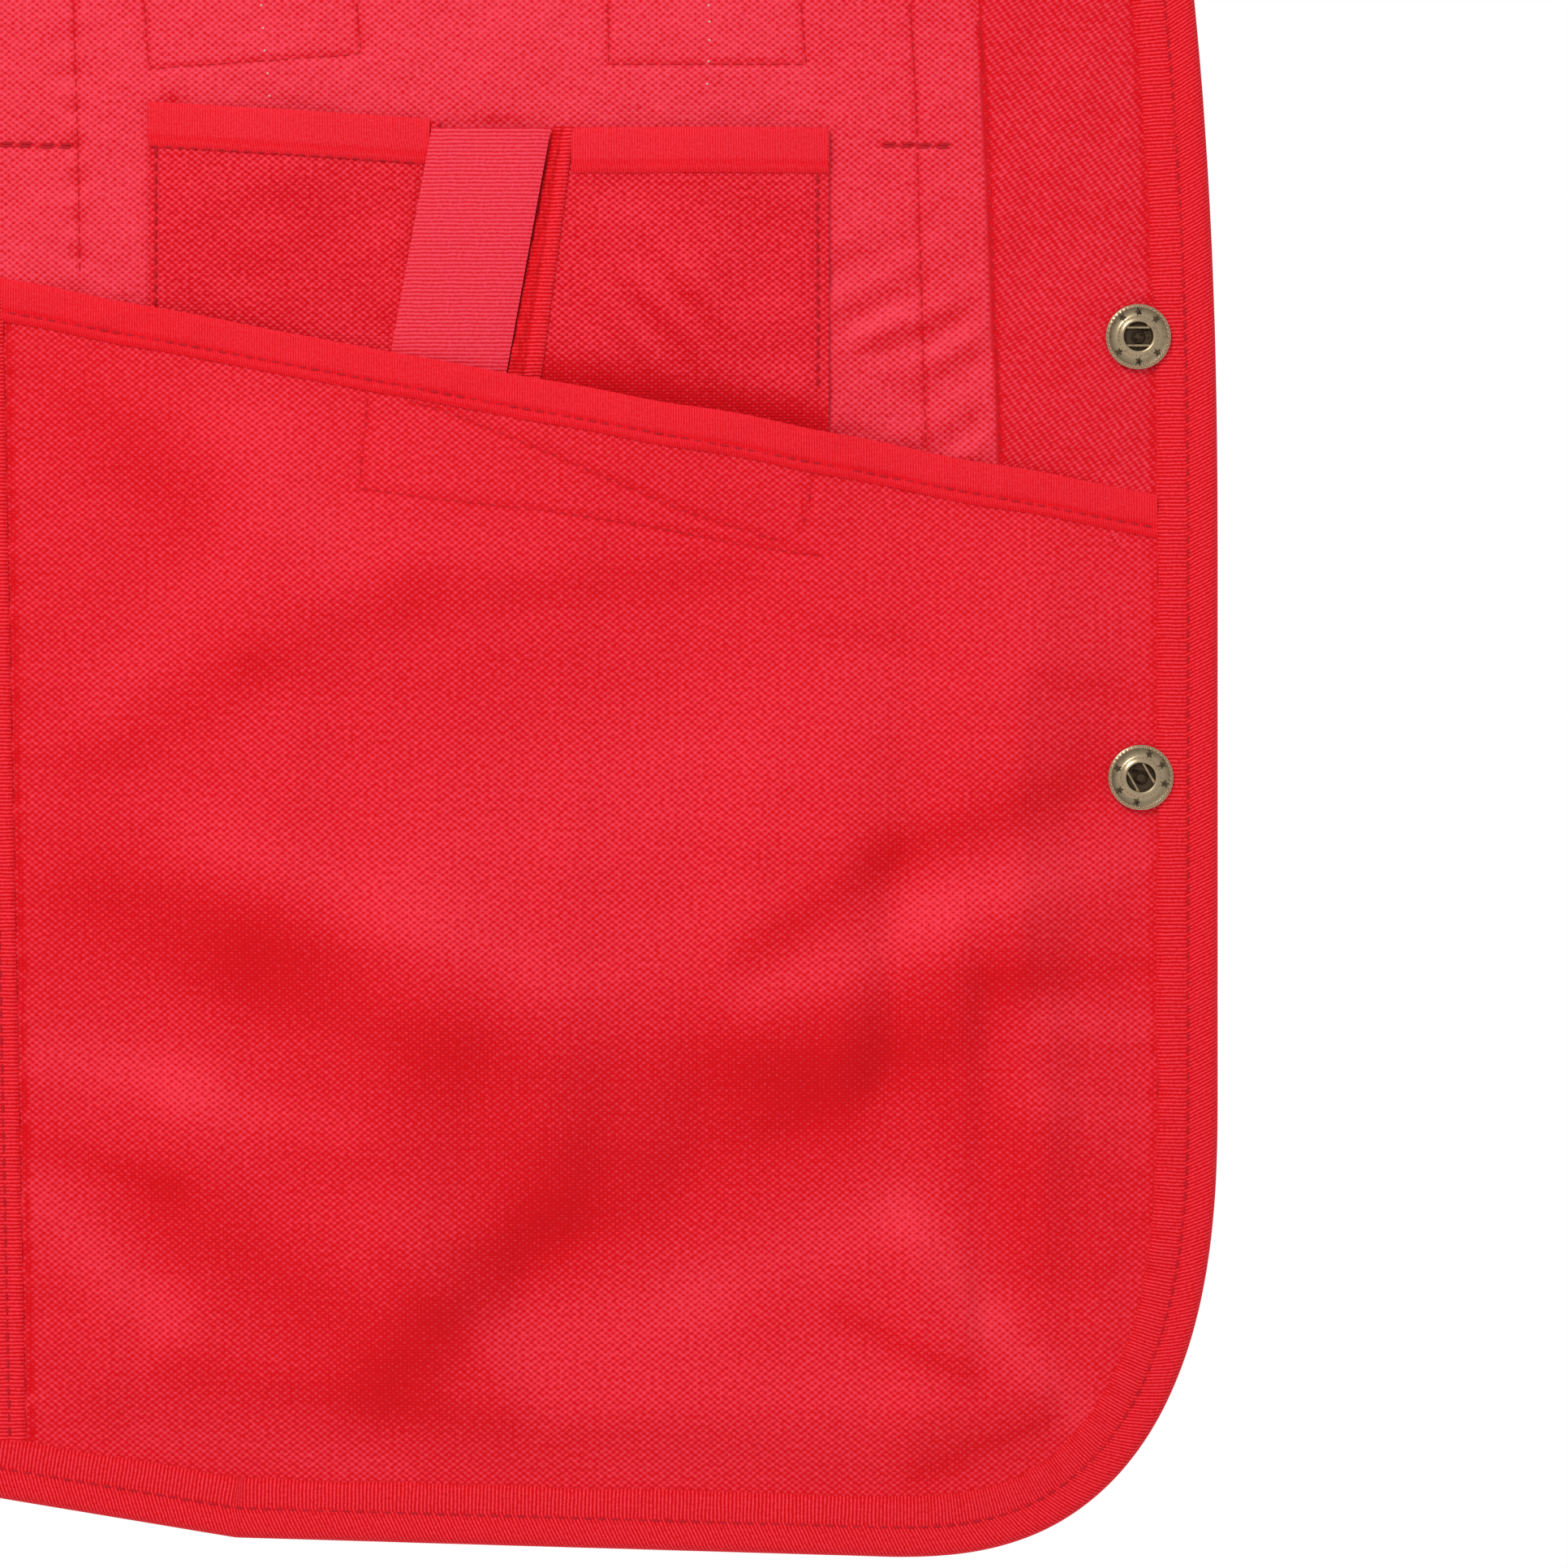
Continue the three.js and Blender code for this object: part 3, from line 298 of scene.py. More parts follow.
def makeTarnish():
    tree, given, out = makeGroup(
        "tarnishedMetal",
        [("Vector", "Vector", None), ("Bright", "Color", (0.6, 0.5, 0.35, 1)),
         ("Dark", "Color", (0.05, 0.03, 0.02, 1)), ("Recess", "Float", 0.0), ("Roughness", "Float", 0.4)],
        [("Color", "Color"), ("Roughness", "Float"), ("Height", "Float")])
    grime = grainNoise(tree, given["Vector"], 900.0, 4.0)
    spots = calc(tree, "MULTIPLY", calc(tree, "MAXIMUM", calc(tree, "SUBTRACT", grime, 0.55), 0.0), 1.6)
    share = calc(tree, "MINIMUM", calc(tree, "ADD", given["Recess"], spots), 1.0)
    tree.links.new(blendColours(tree, share, given["Bright"], given["Dark"]), out["Color"])
    tree.links.new(calc(tree, "MULTIPLY_ADD", share, 0.35, given["Roughness"]), out["Roughness"])
    tree.links.new(grime, out["Height"])
    return tree


threadGroup, ribGroup, dyeAndShadeGroup, tarnishGroup = makeThreads(), makeRibs(), makeDyeAndShade(), makeTarnish()


def placeGroup(tree, group, values):
    node = tree.nodes.new("ShaderNodeGroup")
    node.node_tree = group
    for label, value in values.items():
        if isinstance(value, bpy.types.NodeSocket):
            tree.links.new(value, node.inputs[label])
        else:
            node.inputs[label].default_value = value
    return node


def startMaterial(name, values):
    material = bpy.data.materials.new(name)
    material.use_nodes = True
    tree = material.node_tree
    shader = tree.nodes["Principled BSDF"]
    for label in ("Sheen Weight", "Sheen Roughness", "Specular IOR Level", "Metallic"):
        if label in values:
            shader.inputs[label].default_value = values[label]
    return material, tree, shader


def addBump(tree, shader, height, strength, distance):
    bump = tree.nodes.new("ShaderNodeBump")
    bump.inputs["Strength"].default_value = strength
    bump.inputs["Distance"].default_value = distance
    tree.links.new(height, bump.inputs["Height"])
    tree.links.new(bump.outputs[0], shader.inputs["Normal"])


def clothMaterial(name, values, pattern, patternValues):
    material, tree, shader = startMaterial(name, values)
    weaveMap = tree.nodes.new("ShaderNodeUVMap")
    weaveMap.uv_map = "weave"
    # this attribute holds painted shade and the cloth's own tone
    paintedShadeAndTone = tree.nodes.new("ShaderNodeAttribute")
    paintedShadeAndTone.attribute_name = "paintedShadeAndTone"
    threads = placeGroup(tree, pattern, {"Vector": weaveMap.outputs[0], **patternValues})
    dyeAndShade = placeGroup(tree, dyeAndShadeGroup, {
        "Vector": weaveMap.outputs[0], "Light": values["light"], "Deep": values["deep"],
        "Threads": threads.outputs["Threads"], "Painted Shade And Tone": paintedShadeAndTone.outputs["Fac"],
        "Contrast": values["contrast"], "Roughness": values["roughness"]})
    tree.links.new(dyeAndShade.outputs["Color"], shader.inputs["Base Color"])
    tree.links.new(dyeAndShade.outputs["Roughness"], shader.inputs["Roughness"])
    addBump(tree, shader, threads.outputs["Height"], values["bump"], values["relief"])
    return material


plainFabric = {"roughness": 0.8, "bump": 0.5, "relief": 0.00025,
               "Sheen Weight": 0.05, "Sheen Roughness": 0.5, "Specular IOR Level": 0.08}
finishes = {
    "oxford": {**plainFabric, "light": (0.90, 0.066, 0.110, 1), "deep": (0.67, 0.002, 0.008, 1),
               "contrast": 1.35, "roughness": 0.78},
    "pocket": {**plainFabric, "light": (0.90, 0.049, 0.085, 1), "deep": (0.68, 0.001, 0.006, 1),
               "contrast": 1.5, "roughness": 0.74, "Specular IOR Level": 0.1},
    "small": {**plainFabric, "light": (0.98, 0.056, 0.094, 1), "deep": (0.64, 0.001, 0.006, 1),
              "contrast": 1.6, "bump": 0.7, "relief": 0.0003},
    "tape": {**plainFabric, "light": (0.93, 0.041, 0.068, 1), "deep": (0.66, 0.001, 0.004, 1),
             "contrast": 2.6, "bump": 0.6, "relief": 0.0003},
    "mouth": {**plainFabric, "light": (0.86, 0.046, 0.076, 1), "deep": (0.75, 0.001, 0.007, 1),
              "contrast": 0.8, "bump": 0.35, "relief": 0.0002},
    "webbing": {**plainFabric, "light": (0.87, 0.064, 0.106, 1), "deep": (0.69, 0.008, 0.022, 1),
                "contrast": 1.8, "roughness": 0.75, "relief": 0.0002, "Sheen Weight": 0.08,
                "Specular IOR Level": 0.1},
}
weave = {"Cell Width": 0.0009, "Cell Height": 0.00072, "Waviness": 0.6}
oxfordCloth = clothMaterial("oxfordCloth", finishes["oxford"], threadGroup, weave)
pocketCloth = clothMaterial("pocketCloth", finishes["pocket"], threadGroup, weave)
smallPocketCloth = clothMaterial("smallPocketCloth", finishes["small"], threadGroup,
                                 {**weave, "Waviness": 0.45})
ribbedTape = clothMaterial("ribbedTape", finishes["tape"], ribGroup, {"Pitch": 0.00087, "Slant": 0.5})
mouthBinding = clothMaterial("mouthBinding", finishes["mouth"], ribGroup, {"Pitch": 0.0006, "Slant": 0.15})
webbingCloth = clothMaterial("webbingCloth", finishes["webbing"], ribGroup, {"Pitch": 0.0009, "Slant": 0.0})


def metalMaterial(name, values):
    material, tree, shader = startMaterial(name, values)
    place = tree.nodes.new("ShaderNodeTexCoord")
    recess = tree.nodes.new("ShaderNodeAttribute")
    recess.attribute_name = "recess"
    tarnish = placeGroup(tree, tarnishGroup, {
        "Vector": place.outputs["Object"], "Bright": values["bright"], "Dark": values["dark"],
        "Recess": recess.outputs["Fac"], "Roughness": values["roughness"]})
    tree.links.new(tarnish.outputs["Color"], shader.inputs["Base Color"])
    tree.links.new(tarnish.outputs["Roughness"], shader.inputs["Roughness"])
    addBump(tree, shader, tarnish.outputs["Height"], 0.15, 0.00005)
    return material


antiqueBrass = metalMaterial("antiqueBrass", {
    "bright": (0.42, 0.325, 0.205, 1), "dark": (0.03, 0.016, 0.010, 1), "roughness": 0.3, "Metallic": 1.0})


def threadMaterial(name, colour):
    material, tree, shader = startMaterial(name, {"Specular IOR Level": 0.15})
    place = tree.nodes.new("ShaderNodeTexCoord")
    fibres = grainNoise(tree, place.outputs["Object"], 2500.0)
    deep = tuple(channel * 0.6 for channel in colour[:3]) + (1,)
    tree.links.new(blendColours(tree, fibres, deep, colour), shader.inputs["Base Color"])
    shader.inputs["Roughness"].default_value = 0.7
    return material


redThread = threadMaterial("redThread", (0.62, 0.010, 0.022, 1))
creamThread = threadMaterial("creamThread", (0.85, 0.72, 0.62, 1))
print("vest: materials made")

# Sizes on the open front: e is measured in from the front edge and h up from the hem, in millimetres
front = {"width": 305.0, "flatWidth": 285.0, "shownHeight": 361.6, "cornerWidth": 75.0, "cornerHeight": 107.0,
         "cornerPower": 2.55, "leanStart": 229.0, "lean": 93.0, "leanHeight": 426.0, "leanPower": 2.41,
         "hemRise": 17.5, "hemRiseLow": 4.5, "hemRiseWidth": 78.0}


def leanAt(h):
    share = np.clip(h - front["leanStart"], 0, None) / front["leanHeight"]
    return front["lean"] * share ** front["leanPower"]


def hemAt(e):
    # height of the hem's edge
    fromSeam = front["width"] - e
    rest = front["width"] - front["cornerWidth"] - front["hemRiseWidth"]
    climb = np.where(
        fromSeam < front["hemRiseWidth"],
        lerp(front["hemRise"], front["hemRiseLow"], fromSeam / front["hemRiseWidth"]),
        front["hemRiseLow"] * np.clip(1 - (fromSeam - front["hemRiseWidth"]) / rest, 0, None))
    reach = np.clip((front["cornerWidth"] - e) / front["cornerWidth"], 0, 1)
    power = front["cornerPower"]
    corner = front["cornerHeight"] * (1 - (1 - reach ** power) ** (1 / power))
    return np.where(e < front["cornerWidth"], corner, climb)


def frontPlaces(e, h, proud):
    # metres, from millimetres in, up and out of the inside face
    return np.stack([edgeX - e / 1000, insideY - proud / 1000, hemZ + h / 1000], 1)


def clothSheet(name, columns, rows, place, thickness, material, replaced=(), twill=None):
    # place gives e, h, proud and the colour's painted shade and tone from two shares, towards the front edge
    # and up
    piece, along, upward = startGrid(name, columns, rows)
    e, h, proud, paintedShadeAndTone = place(along, upward)
    setPlaces(piece.data, frontPlaces(e, h, proud))
    setWeaveMap(piece.data, (e if twill is None else e + twill(e, h)) / 1000, h / 1000)
    setShade(piece.data, "paintedShadeAndTone", paintedShadeAndTone)
    giveWall(piece, thickness)
    return finishPiece(piece, material, replaced)


# Large pocket: soft folds, each from one end to the other, its half width and its rise
largePocket = {"mouthFront": 245.0, "mouthSide": 295.0, "start": 14.0, "sideLow": 275.0, "sideHigh": 281.0,
               "swell": 5.0, "steepness": 0.25, "crumple": 0.14, "wall": 0.8}
pocketFolds = [
    # e and h of one end, e and h of the other, half width, and how far it looks up or down; the tilt shapes the
    # cloth and is also painted as light and shade
    (261, 152, 221, 140, 14, -0.9), (221, 138, 177, 118, 14, -0.9), (181, 116, 112, 114, 10, -0.6),
    (112, 118, 64, 118, 10, -0.5), (191, 42, 153, 80, 10, -1), (153, 78, 92, 106, 16, -1),
    (92, 108, 52, 132, 12, -0.9), (52, 135, 18, 136, 5, -0.8), (275, 97, 241, 86, 4, -0.8),
    (241, 82, 191, 48, 13, -0.9), (209, 98, 149, 98, 12, -0.6), (56, 102, 38, 72, 12, -0.75),
    (38, 94, 20, 82, 7, -0.4), (108, 140, 76, 163, 5, -0.7), (76, 163, 28, 181, 6, -0.8),
    (263, 269, 239, 243, 10, -0.5), (221, 207, 185, 223, 8, -0.45), (185, 221, 112, 228, 7, -0.4),
    (261, 183, 221, 205, 7, -0.5), (205, 203, 149, 207, 10, -0.25), (88, 57, 58, 43, 3, -0.9),
    (70, 19, 40, 31, 3, -0.9), (191, 70, 167, 40, 4, -0.5), (241, 45, 165, 32, 5, -0.7),
    (269, 15, 64, 10, 2, -0.8), (41, 204, 20, 199, 3, -0.5), (100, 219, 56, 205, 4, -0.25),
    (28, 64, 18, 76, 3, -0.4), (225, 263, 201, 231, 10, 0.4), (257, 199, 231, 227, 7, 0.35),
    (229, 239, 161, 235, 6, 0.25), (235, 167, 161, 140, 8, 0.55), (181, 159, 112, 187, 18, 0.4),
    (80, 199, 20, 219, 14, 0.3), (153, 134, 112, 150, 10, 0.35), (108, 130, 64, 147, 6, 0.7),
    (68, 150, 18, 163, 7, 0.8), (273, 118, 237, 111, 7, 0.9), (241, 106, 201, 100, 5, 0.7),
    (273, 82, 243, 56, 7, 0.9), (249, 29, 189, 21, 4, 0.5), (167, 53, 120, 60, 9, 0.6),
    (120, 62, 74, 81, 8, 0.7), (74, 81, 54, 58, 6, 0.9), (52, 54, 30, 33, 5, 0.9),
    (161, 42, 72, 38, 12, 0.4), (40, 126, 18, 123, 5, 0.7), (40, 106, 18, 102, 6, 0.35),
    (56, 23, 31, 33, 2, 0.7), (141, 22, 80, 24, 6, 0.3),
]


def mouthAt(e):
    share = (e - 14.3) / (largePocket["sideHigh"] - 14.3)
    return lerp(largePocket["mouthFront"], largePocket["mouthSide"], share)


def sideAt(h):
    return lerp(largePocket["sideLow"], largePocket["sideHigh"], h / largePocket["mouthSide"])


def nearLines(e, h, lines, width):
    # 1 on a seam, falling to 0 beside it
    nearest = np.full_like(e, 1e9)
    for line in lines:
        for (eFirst, hFirst), (eLast, hLast) in zip(line[:-1], line[1:]):
            size = (eLast - eFirst) ** 2 + (hLast - hFirst) ** 2
            share = np.clip(((e - eFirst) * (eLast - eFirst) + (h - hFirst) * (hLast - hFirst)) / size, 0, 1)
            gap = np.hypot(e - eFirst - share * (eLast - eFirst), h - hFirst - share * (hLast - hFirst))
            nearest = np.minimum(nearest, gap)
    return peak(nearest, 0, width)


# a sewn box and its slanting crease under the mouth
rectangleLines = [[(195.9, 270.6), (198.0, 246.7)],
                  [(198.0, 246.7), (181.3, 244.3), (156.2, 241.7), (131.1, 238.0), (107.6, 233.2),
                   (91.7, 231.2)],
                  [(93.4, 251.3), (94.7, 243.0), (96.4, 236.3)],
                  [(187.1, 267.2), (174.6, 263.1), (156.2, 255.6), (139.5, 248.4), (122.8, 241.3),
                   (99.4, 234.0)]]


def foldTilt(e, h):
    # over 0 where the cloth looks up, under 0 where it looks down
    total = np.zeros_like(e)
    for eFirst, hFirst, eLast, hLast, halfWidth, tilt in pocketFolds:
        half = math.hypot(eLast - eFirst, hLast - hFirst) / 2
        alongE, alongH = (eLast - eFirst) / 2 / half, (hLast - hFirst) / 2 / half
        awayE, awayH = e - (eFirst + eLast) / 2, h - (hFirst + hLast) / 2
        past = np.clip(np.abs(awayE * alongE + awayH * alongH) - half, 0, None)
        across = awayE * alongH - awayH * alongE
        total += tilt * np.exp(-(across ** 2 + past ** 2) / halfWidth ** 2)
    return total


def makeFoldRelief():
    # the height of the folds follows from how the cloth tilts, added up from the hem to the mouth
    eSteps, hSteps = np.linspace(8, 292, 143), np.linspace(0, 300, 151)
    eAll, hAll = np.meshgrid(eSteps, hSteps, indexing="ij")
    climb = -np.cumsum(foldTilt(eAll, hAll), 1) * (hSteps[1] - hSteps[0]) * largePocket["steepness"]
    for row, e in enumerate(eSteps):
        low, high = float(hemAt(e)) + 14, float(mouthAt(e))
        ends = np.interp([low, high], hSteps, climb[row])
        climb[row] -= np.interp(hSteps, [low, high], ends)
    return eSteps, hSteps, climb


def foldRise(e, h):
    eSteps, hSteps, climb = foldRelief
    column = np.clip((e - eSteps[0]) / (eSteps[1] - eSteps[0]), 0, len(eSteps) - 1.001)
    row = np.clip((h - hSteps[0]) / (hSteps[1] - hSteps[0]), 0, len(hSteps) - 1.001)
    left, low = column.astype(int), row.astype(int)
    share, rise = column - left, row - low
    return ((climb[left, low] * (1 - share) + climb[left + 1, low] * share) * (1 - rise)
            + (climb[left, low + 1] * (1 - share) + climb[left + 1, low + 1] * share) * rise)


foldRelief = makeFoldRelief()


def largeProud(e, h):
    total = foldRise(e, h)
    overHem = h - hemAt(e)
    held = easeIn(e, 13, 46) * easeIn(sideAt(h) - e, 0, 22) * easeIn(overHem, 12, 36)
    underMouth = mouthAt(e) - h
    nearMouth = 1 - easeIn(underMouth, 6, 34)
    body = (largePocket["swell"] + total) * (1 - 0.55 * nearMouth)
    overSmall = 1.6 * nearMouth * easeIn(e, 78, 92) * easeIn(258 - e, 0, 12)  # small pockets lie behind
    lifted = overSmall + 3.0 * nearMouth * np.exp(-0.5 * ((e - 118) / 30) ** 2)  # the mouth stands open
    fine = largePocket["crumple"] * (ripple(e, h, 19, 3) + 0.5 * ripple(e, h, 8, 4))
    sideGather = 0.5 * wave(h, 15.2) * peak(e, sideAt(h), 9)
    frontGather = 0.3 * wave(h, 9.8) * peak(e, 15, 8) * easeIn(190 - h, 0, 60)
    atSnap = np.exp(-((e - 18.3) ** 2 + (h - 180.2) ** 2) / 11 ** 2)  # pressed down by the socket
    raw = (body + lifted) * held * (1 - atSnap) + fine * (0.3 + 0.7 * held) + sideGather + frontGather
    sunk = 0.3 * nearLines(e, h, rectangleLines, 0.9) * (1 - atSnap)
    return 0.85 + np.log1p(np.exp((raw - 0.6) / 0.8)) * 0.8 - sunk


def largeShadeAndTone(e, h):
    # painted light: cloth that looks up is painted a little brighter than cloth that looks down
    slope = (largeProud(e, h - 0.6) - largeProud(e, h + 0.6)) / 1.2
    # painted shade in the valleys along the sewn box and its crease
    sewn = 0.22 * nearLines(e, h, rectangleLines, 0.8)
    # painted shadow: a dark line beside the inner edges of the front tape and the side tape
    besideTapes = peak(e, 14.7, 0.6) + 1.3 * peak(e - sideAt(h), -1.7, 0.7)
    tapeShadow = 0.5 * besideTapes * (0.7 + 0.6 * ripple(e, h, 5, 8))
    return 0.2 * foldTilt(e, h) + np.clip(slope * 0.35, -0.12, 0.1) - 0.22 - sewn - tapeShadow


def largePlace(along, up):
    eSide = sideAt(up * largePocket["mouthSide"]) + 1.2
    e = lerp(eSide, largePocket["start"], along)
    low, high = hemAt(e) + 9, mouthAt(e)
    h = lerp(low, high, up)
    return e, h, largeProud(e, h), largeShadeAndTone(e, h)


largePiece = clothSheet("large_pocket", 210, 220, largePlace, largePocket["wall"], pocketCloth,
                        ["large_inner_pocket"])
print("vest: large pocket made")

# Flat tape along an edge of a pocket: from its edge inwards, with rounded long edges
tapes = {"mouthWidth": 10.0, "smallMouthWidth": 10.5, "sideWidth": 7.5, "wall": 0.6}


def strip(name, columns, rows, place, material, replaced):
    return clothSheet(name, columns, rows, place, tapes["wall"], material, replaced)


def rolledEdge(share, height=0.5):
    # a tape is full in the middle and turns down at its long edges
    return height * (1 - np.abs(2 * share - 1) ** 6)


def setTapeMap(piece, along, across):
    mesh = piece.data
    places = placesOf(mesh)
    e, h = (edgeX - places[:, 0]) * 1000, (places[:, 2] - hemZ) * 1000
    setWeaveMap(mesh, along(e, h) / 1000, across(e, h) / 1000)


def mouthPlace(along, up):
    e = lerp(largePocket["sideHigh"] + 1, 14.2, along)
    h = mouthAt(e) - tapes["mouthWidth"] * (1 - up) + 0.35 * ripple(e, 0 * e, 40, 6) + 0.4
    stitched = -0.22 * peak(up, 0.25, 0.09)
    proud = largeProud(e, h) + 0.25 + rolledEdge(up, 0.5) + stitched + 0.12 * ripple(e, h, 7, 8)
    # painted shade: darker along the stitched groove and at the tape's lower edge
    line = 0.3 * peak(up, 0.27, 0.06)
    return e, h, proud, -0.2 - 0.25 * peak(up, 0.02, 0.08) - line


mouthTape = strip("large_mouth_tape", 260, 18, mouthPlace, mouthBinding, ["large_pocket_mouth_binding"])
setTapeMap(mouthTape, lambda e, h: e, lambda e, h: mouthAt(e) - h)


def sideTapePlace(along, up):
    h = lerp(27.0, largePocket["mouthSide"] - 0.5, up)
    e = sideAt(h) + tapes["sideWidth"] * (1 - along) - 0.3
    groove = -0.35 * peak(along, 0.5, 0.08)
    proud = 1.5 + rolledEdge(along, 0.6) + groove + 0.18 * wave(h, 7.6) * along
    # painted shade along the tape's edge towards the pocket
    return e, h, proud, np.full_like(e, -0.15) - 0.35 * peak(along, 0.98, 0.1)


sideTape = strip("large_side_tape", 18, 300, sideTapePlace, ribbedTape, ["large_pocket_side_tape"])
setTapeMap(sideTape, lambda e, h: h, lambda e, h: e - sideAt(h))
print("vest: pocket tapes made")

# Inner facing: the inside layer that shows above the large pocket, with its seams
facing = {"seamTop": 55.0, "seamLow": 50.5, "pleatLeft": 264.0, "wall": 0.5,
          # dark spots painted in the cloth for thread knots, and painted shade of a pucker above the webbing
          # tab: e, h, half width, half height, depth of the shade
          "knotsAndShadeSpots": [(241.5, 336.9, 2.6, 1.3, 0.7), (198.6, 354.0, 0.7, 2.6, 0.5), (264.0, 358.0, 0.8, 1.8, 0.5),
                    (263.2, 326.2, 1.0, 0.8, 0.5), (167.0, 332.4, 9.0, 1.0, 0.45)]}
panelLines = [
    [(264.4, 359.0), (263.4, 326.0), (262.9, 296.0)],
    [(71.1, 359.0), (69.8, 334.7), (68.4, 287.8), (67.5, 256.0)],
    [(56.0, 359.0), (53.6, 338.8), (52.6, 318.0), (51.6, 284.0), (50.0, 253.0)],
    [(282.0, 325.9), (263.5, 325.9)], [(78.2, 326.0), (63.5, 326.0)],
    [(248.0, 359.0), (247.0, 343.9), (198.0, 347.3), (199.0, 359.0)],
    [(141.0, 359.0), (140.8, 345.0), (95.2, 345.0), (96.4, 359.0)]]


def seamAt(h):
    return lerp(facing["seamLow"], facing["seamTop"], (h - 252) / 100)


def facingProud(e, h):
    seam = seamAt(h)
    shell = 0.35 * easeIn(seam - e, -0.6, 0.4) + 0.4 * easeIn(seam - e, 2, 16) * easeIn(e, 15, 24)
    valley = -0.3 * peak(e - seam, 0.4, 0.9)
    inStrip = easeIn(e, 52, 57) * easeIn(94 - e, 0, 4)
    drag = wave(h + 0.55 * (e - 70), 13.5, 1.7 * ripple(e, h, 34, 11))
    drag = drag * np.clip(0.55 + 0.8 * ripple(e, h, 26, 14), 0.1, 1.2)
    pucker = 0.42 * drag * inStrip * easeIn(325 - h, 0, 40)
    leftPleat = 0.35 * peak(e, facing["pleatLeft"], 3.0) * wave(h, 8.4)
    shellFold = 0.7 * peak(e - 44, (300 - h) * 0.05, 3.2) * easeIn(h, 262, 300)
    fine = 0.16 * ripple(e, h, 22, 12) + 0.08 * ripple(e, h, 9, 13)
    sewn = 0.22 * nearLines(e, h, panelLines, 0.8)
    return 0.6 - sewn + shell + valley + pucker + leftPleat * 0.6 + fine - shellFold * 0.5


def facingPlace(along, up):
    h = lerp(222.0, front["shownHeight"], up)
    e = lerp(front["flatWidth"], 12.6 + leanAt(h), along)
    # painted light: cloth that looks up is painted lighter, cloth that looks down darker
    slope = (facingProud(e, h - 0.6) - facingProud(e, h + 0.6)) / 1.2
    darker = -0.34 * easeIn(seamAt(h) - e, -0.4, 0.6)
    stripShade = -0.08 * easeIn(e, 52, 57) * easeIn(96 - e, 0, 4)
    # painted shade in the valley of the seam, along the sewn lines and beside the edge tape
    line = -0.35 * peak(e, seamAt(h), 0.7) - 0.3 * nearLines(e, h, panelLines, 0.7)
    line = line - 0.35 * peak(e - 14.9, leanAt(h), 0.6)
    # painted dark spots: thread knots, and painted shade above the webbing tab
    knotsAndShadeSpots = sum(depth * np.exp(-((e - knotE) / wide) ** 2 - ((h - knotH) / high) ** 2)
                for knotE, knotH, wide, high, depth in facing["knotsAndShadeSpots"])
    line = line - knotsAndShadeSpots * (0.7 + 0.5 * ripple(e, h, 2.5, 15))
    kept = easeIn(front["shownHeight"] - h, -0.2, 1.2) * easeIn(front["flatWidth"] - e, -0.2, 3)
    proud = lerp(-0.2, facingProud(e, h), kept)
    return e, h, proud, np.clip(slope, -0.35, 0.25) + darker + stripShade + line + 0.07


facingPiece = clothSheet("inner_facing", 310, 150, facingPlace, facing["wall"], oxfordCloth,
                         twill=lambda e, h: 0.5 * h * (e < seamAt(h)))

# Small pockets, with the webbing tab and the bound edge between them
small = {"low": 226.0, "wall": 0.7, "tabTop": 330.0, "tabSide": 181.5, "tabSlope": 0.183, "tabWidth": 27.5}
smallPockets = {
    "small_pocket_side": {"seed": 21, "side": 247.0, "front": 184.0, "mouthSide": 335.5, "mouthFront": 331.5,
                          "tape": "side_mouth_tape", "tapeSide": 247.0, "tapeFront": 182.0,
                          "node": "small_pocket_left"},
    "small_pocket_front": {"seed": 31, "side": 149.0, "front": 90.0, "mouthSide": 329.5, "mouthFront": 329.5,
                           "tape": "front_mouth_tape", "tapeSide": 149.4, "tapeFront": 90.0,
                           "node": "small_pocket_right"},
}


def tabSideAt(h):
    return small["tabSide"] + (small["tabTop"] - h) * small["tabSlope"]


def boundSideAt(h):
    return tabSideAt(h) - small["tabWidth"] - 0.3


def boundFrontAt(h):
    return boundSideAt(h) - lerp(5.0, 8.5, np.clip((small["tabTop"] - h) / 70, 0, 1))


def smallEdges(name, h):
    # e of the edge towards the side and of the one towards the front
    if name == "small_pocket_side":
        return smallPockets[name]["side"] + 0 * h, tabSideAt(h) - 1.5
    return boundFrontAt(h) + 1.0, smallPockets[name]["front"] + 0 * h


def creaseOf(name, e, h):
    if name != "small_pocket_front":
        return -0.7 * np.exp(-((e - 205) / 9) ** 2 - ((h - 305) / 18) ** 2)
    fan = wave((e - 142) * 0.75 - (h - 293) * 0.66, 9.5)
    return 0.3 * fan * np.exp(-((e - 128) / 15) ** 2 - ((h - 288) / 15) ** 2)


def smallProud(name, e, h):
    pocket = smallPockets[name]
    across = np.clip((pocket["side"] - e) / (pocket["side"] - pocket["front"]), 0, 1)
    bulge = np.sin(math.pi * across) * easeIn(h - mouthAt(e), 2, 30)
    crumple = ripple(e, h, 34, pocket["seed"], 1.2) * 0.6 + ripple(e, h, 14, pocket["seed"] + 1) * 0.2
    held = easeIn(across, 0, 0.14) * easeIn(1 - across, 0, 0.14)
    free = easeIn(h - mouthAt(e), -4, 12)
    return 1.6 + 1.4 * bulge + (crumple + 0.5) * held * 0.8 * free + creaseOf(name, e, h)


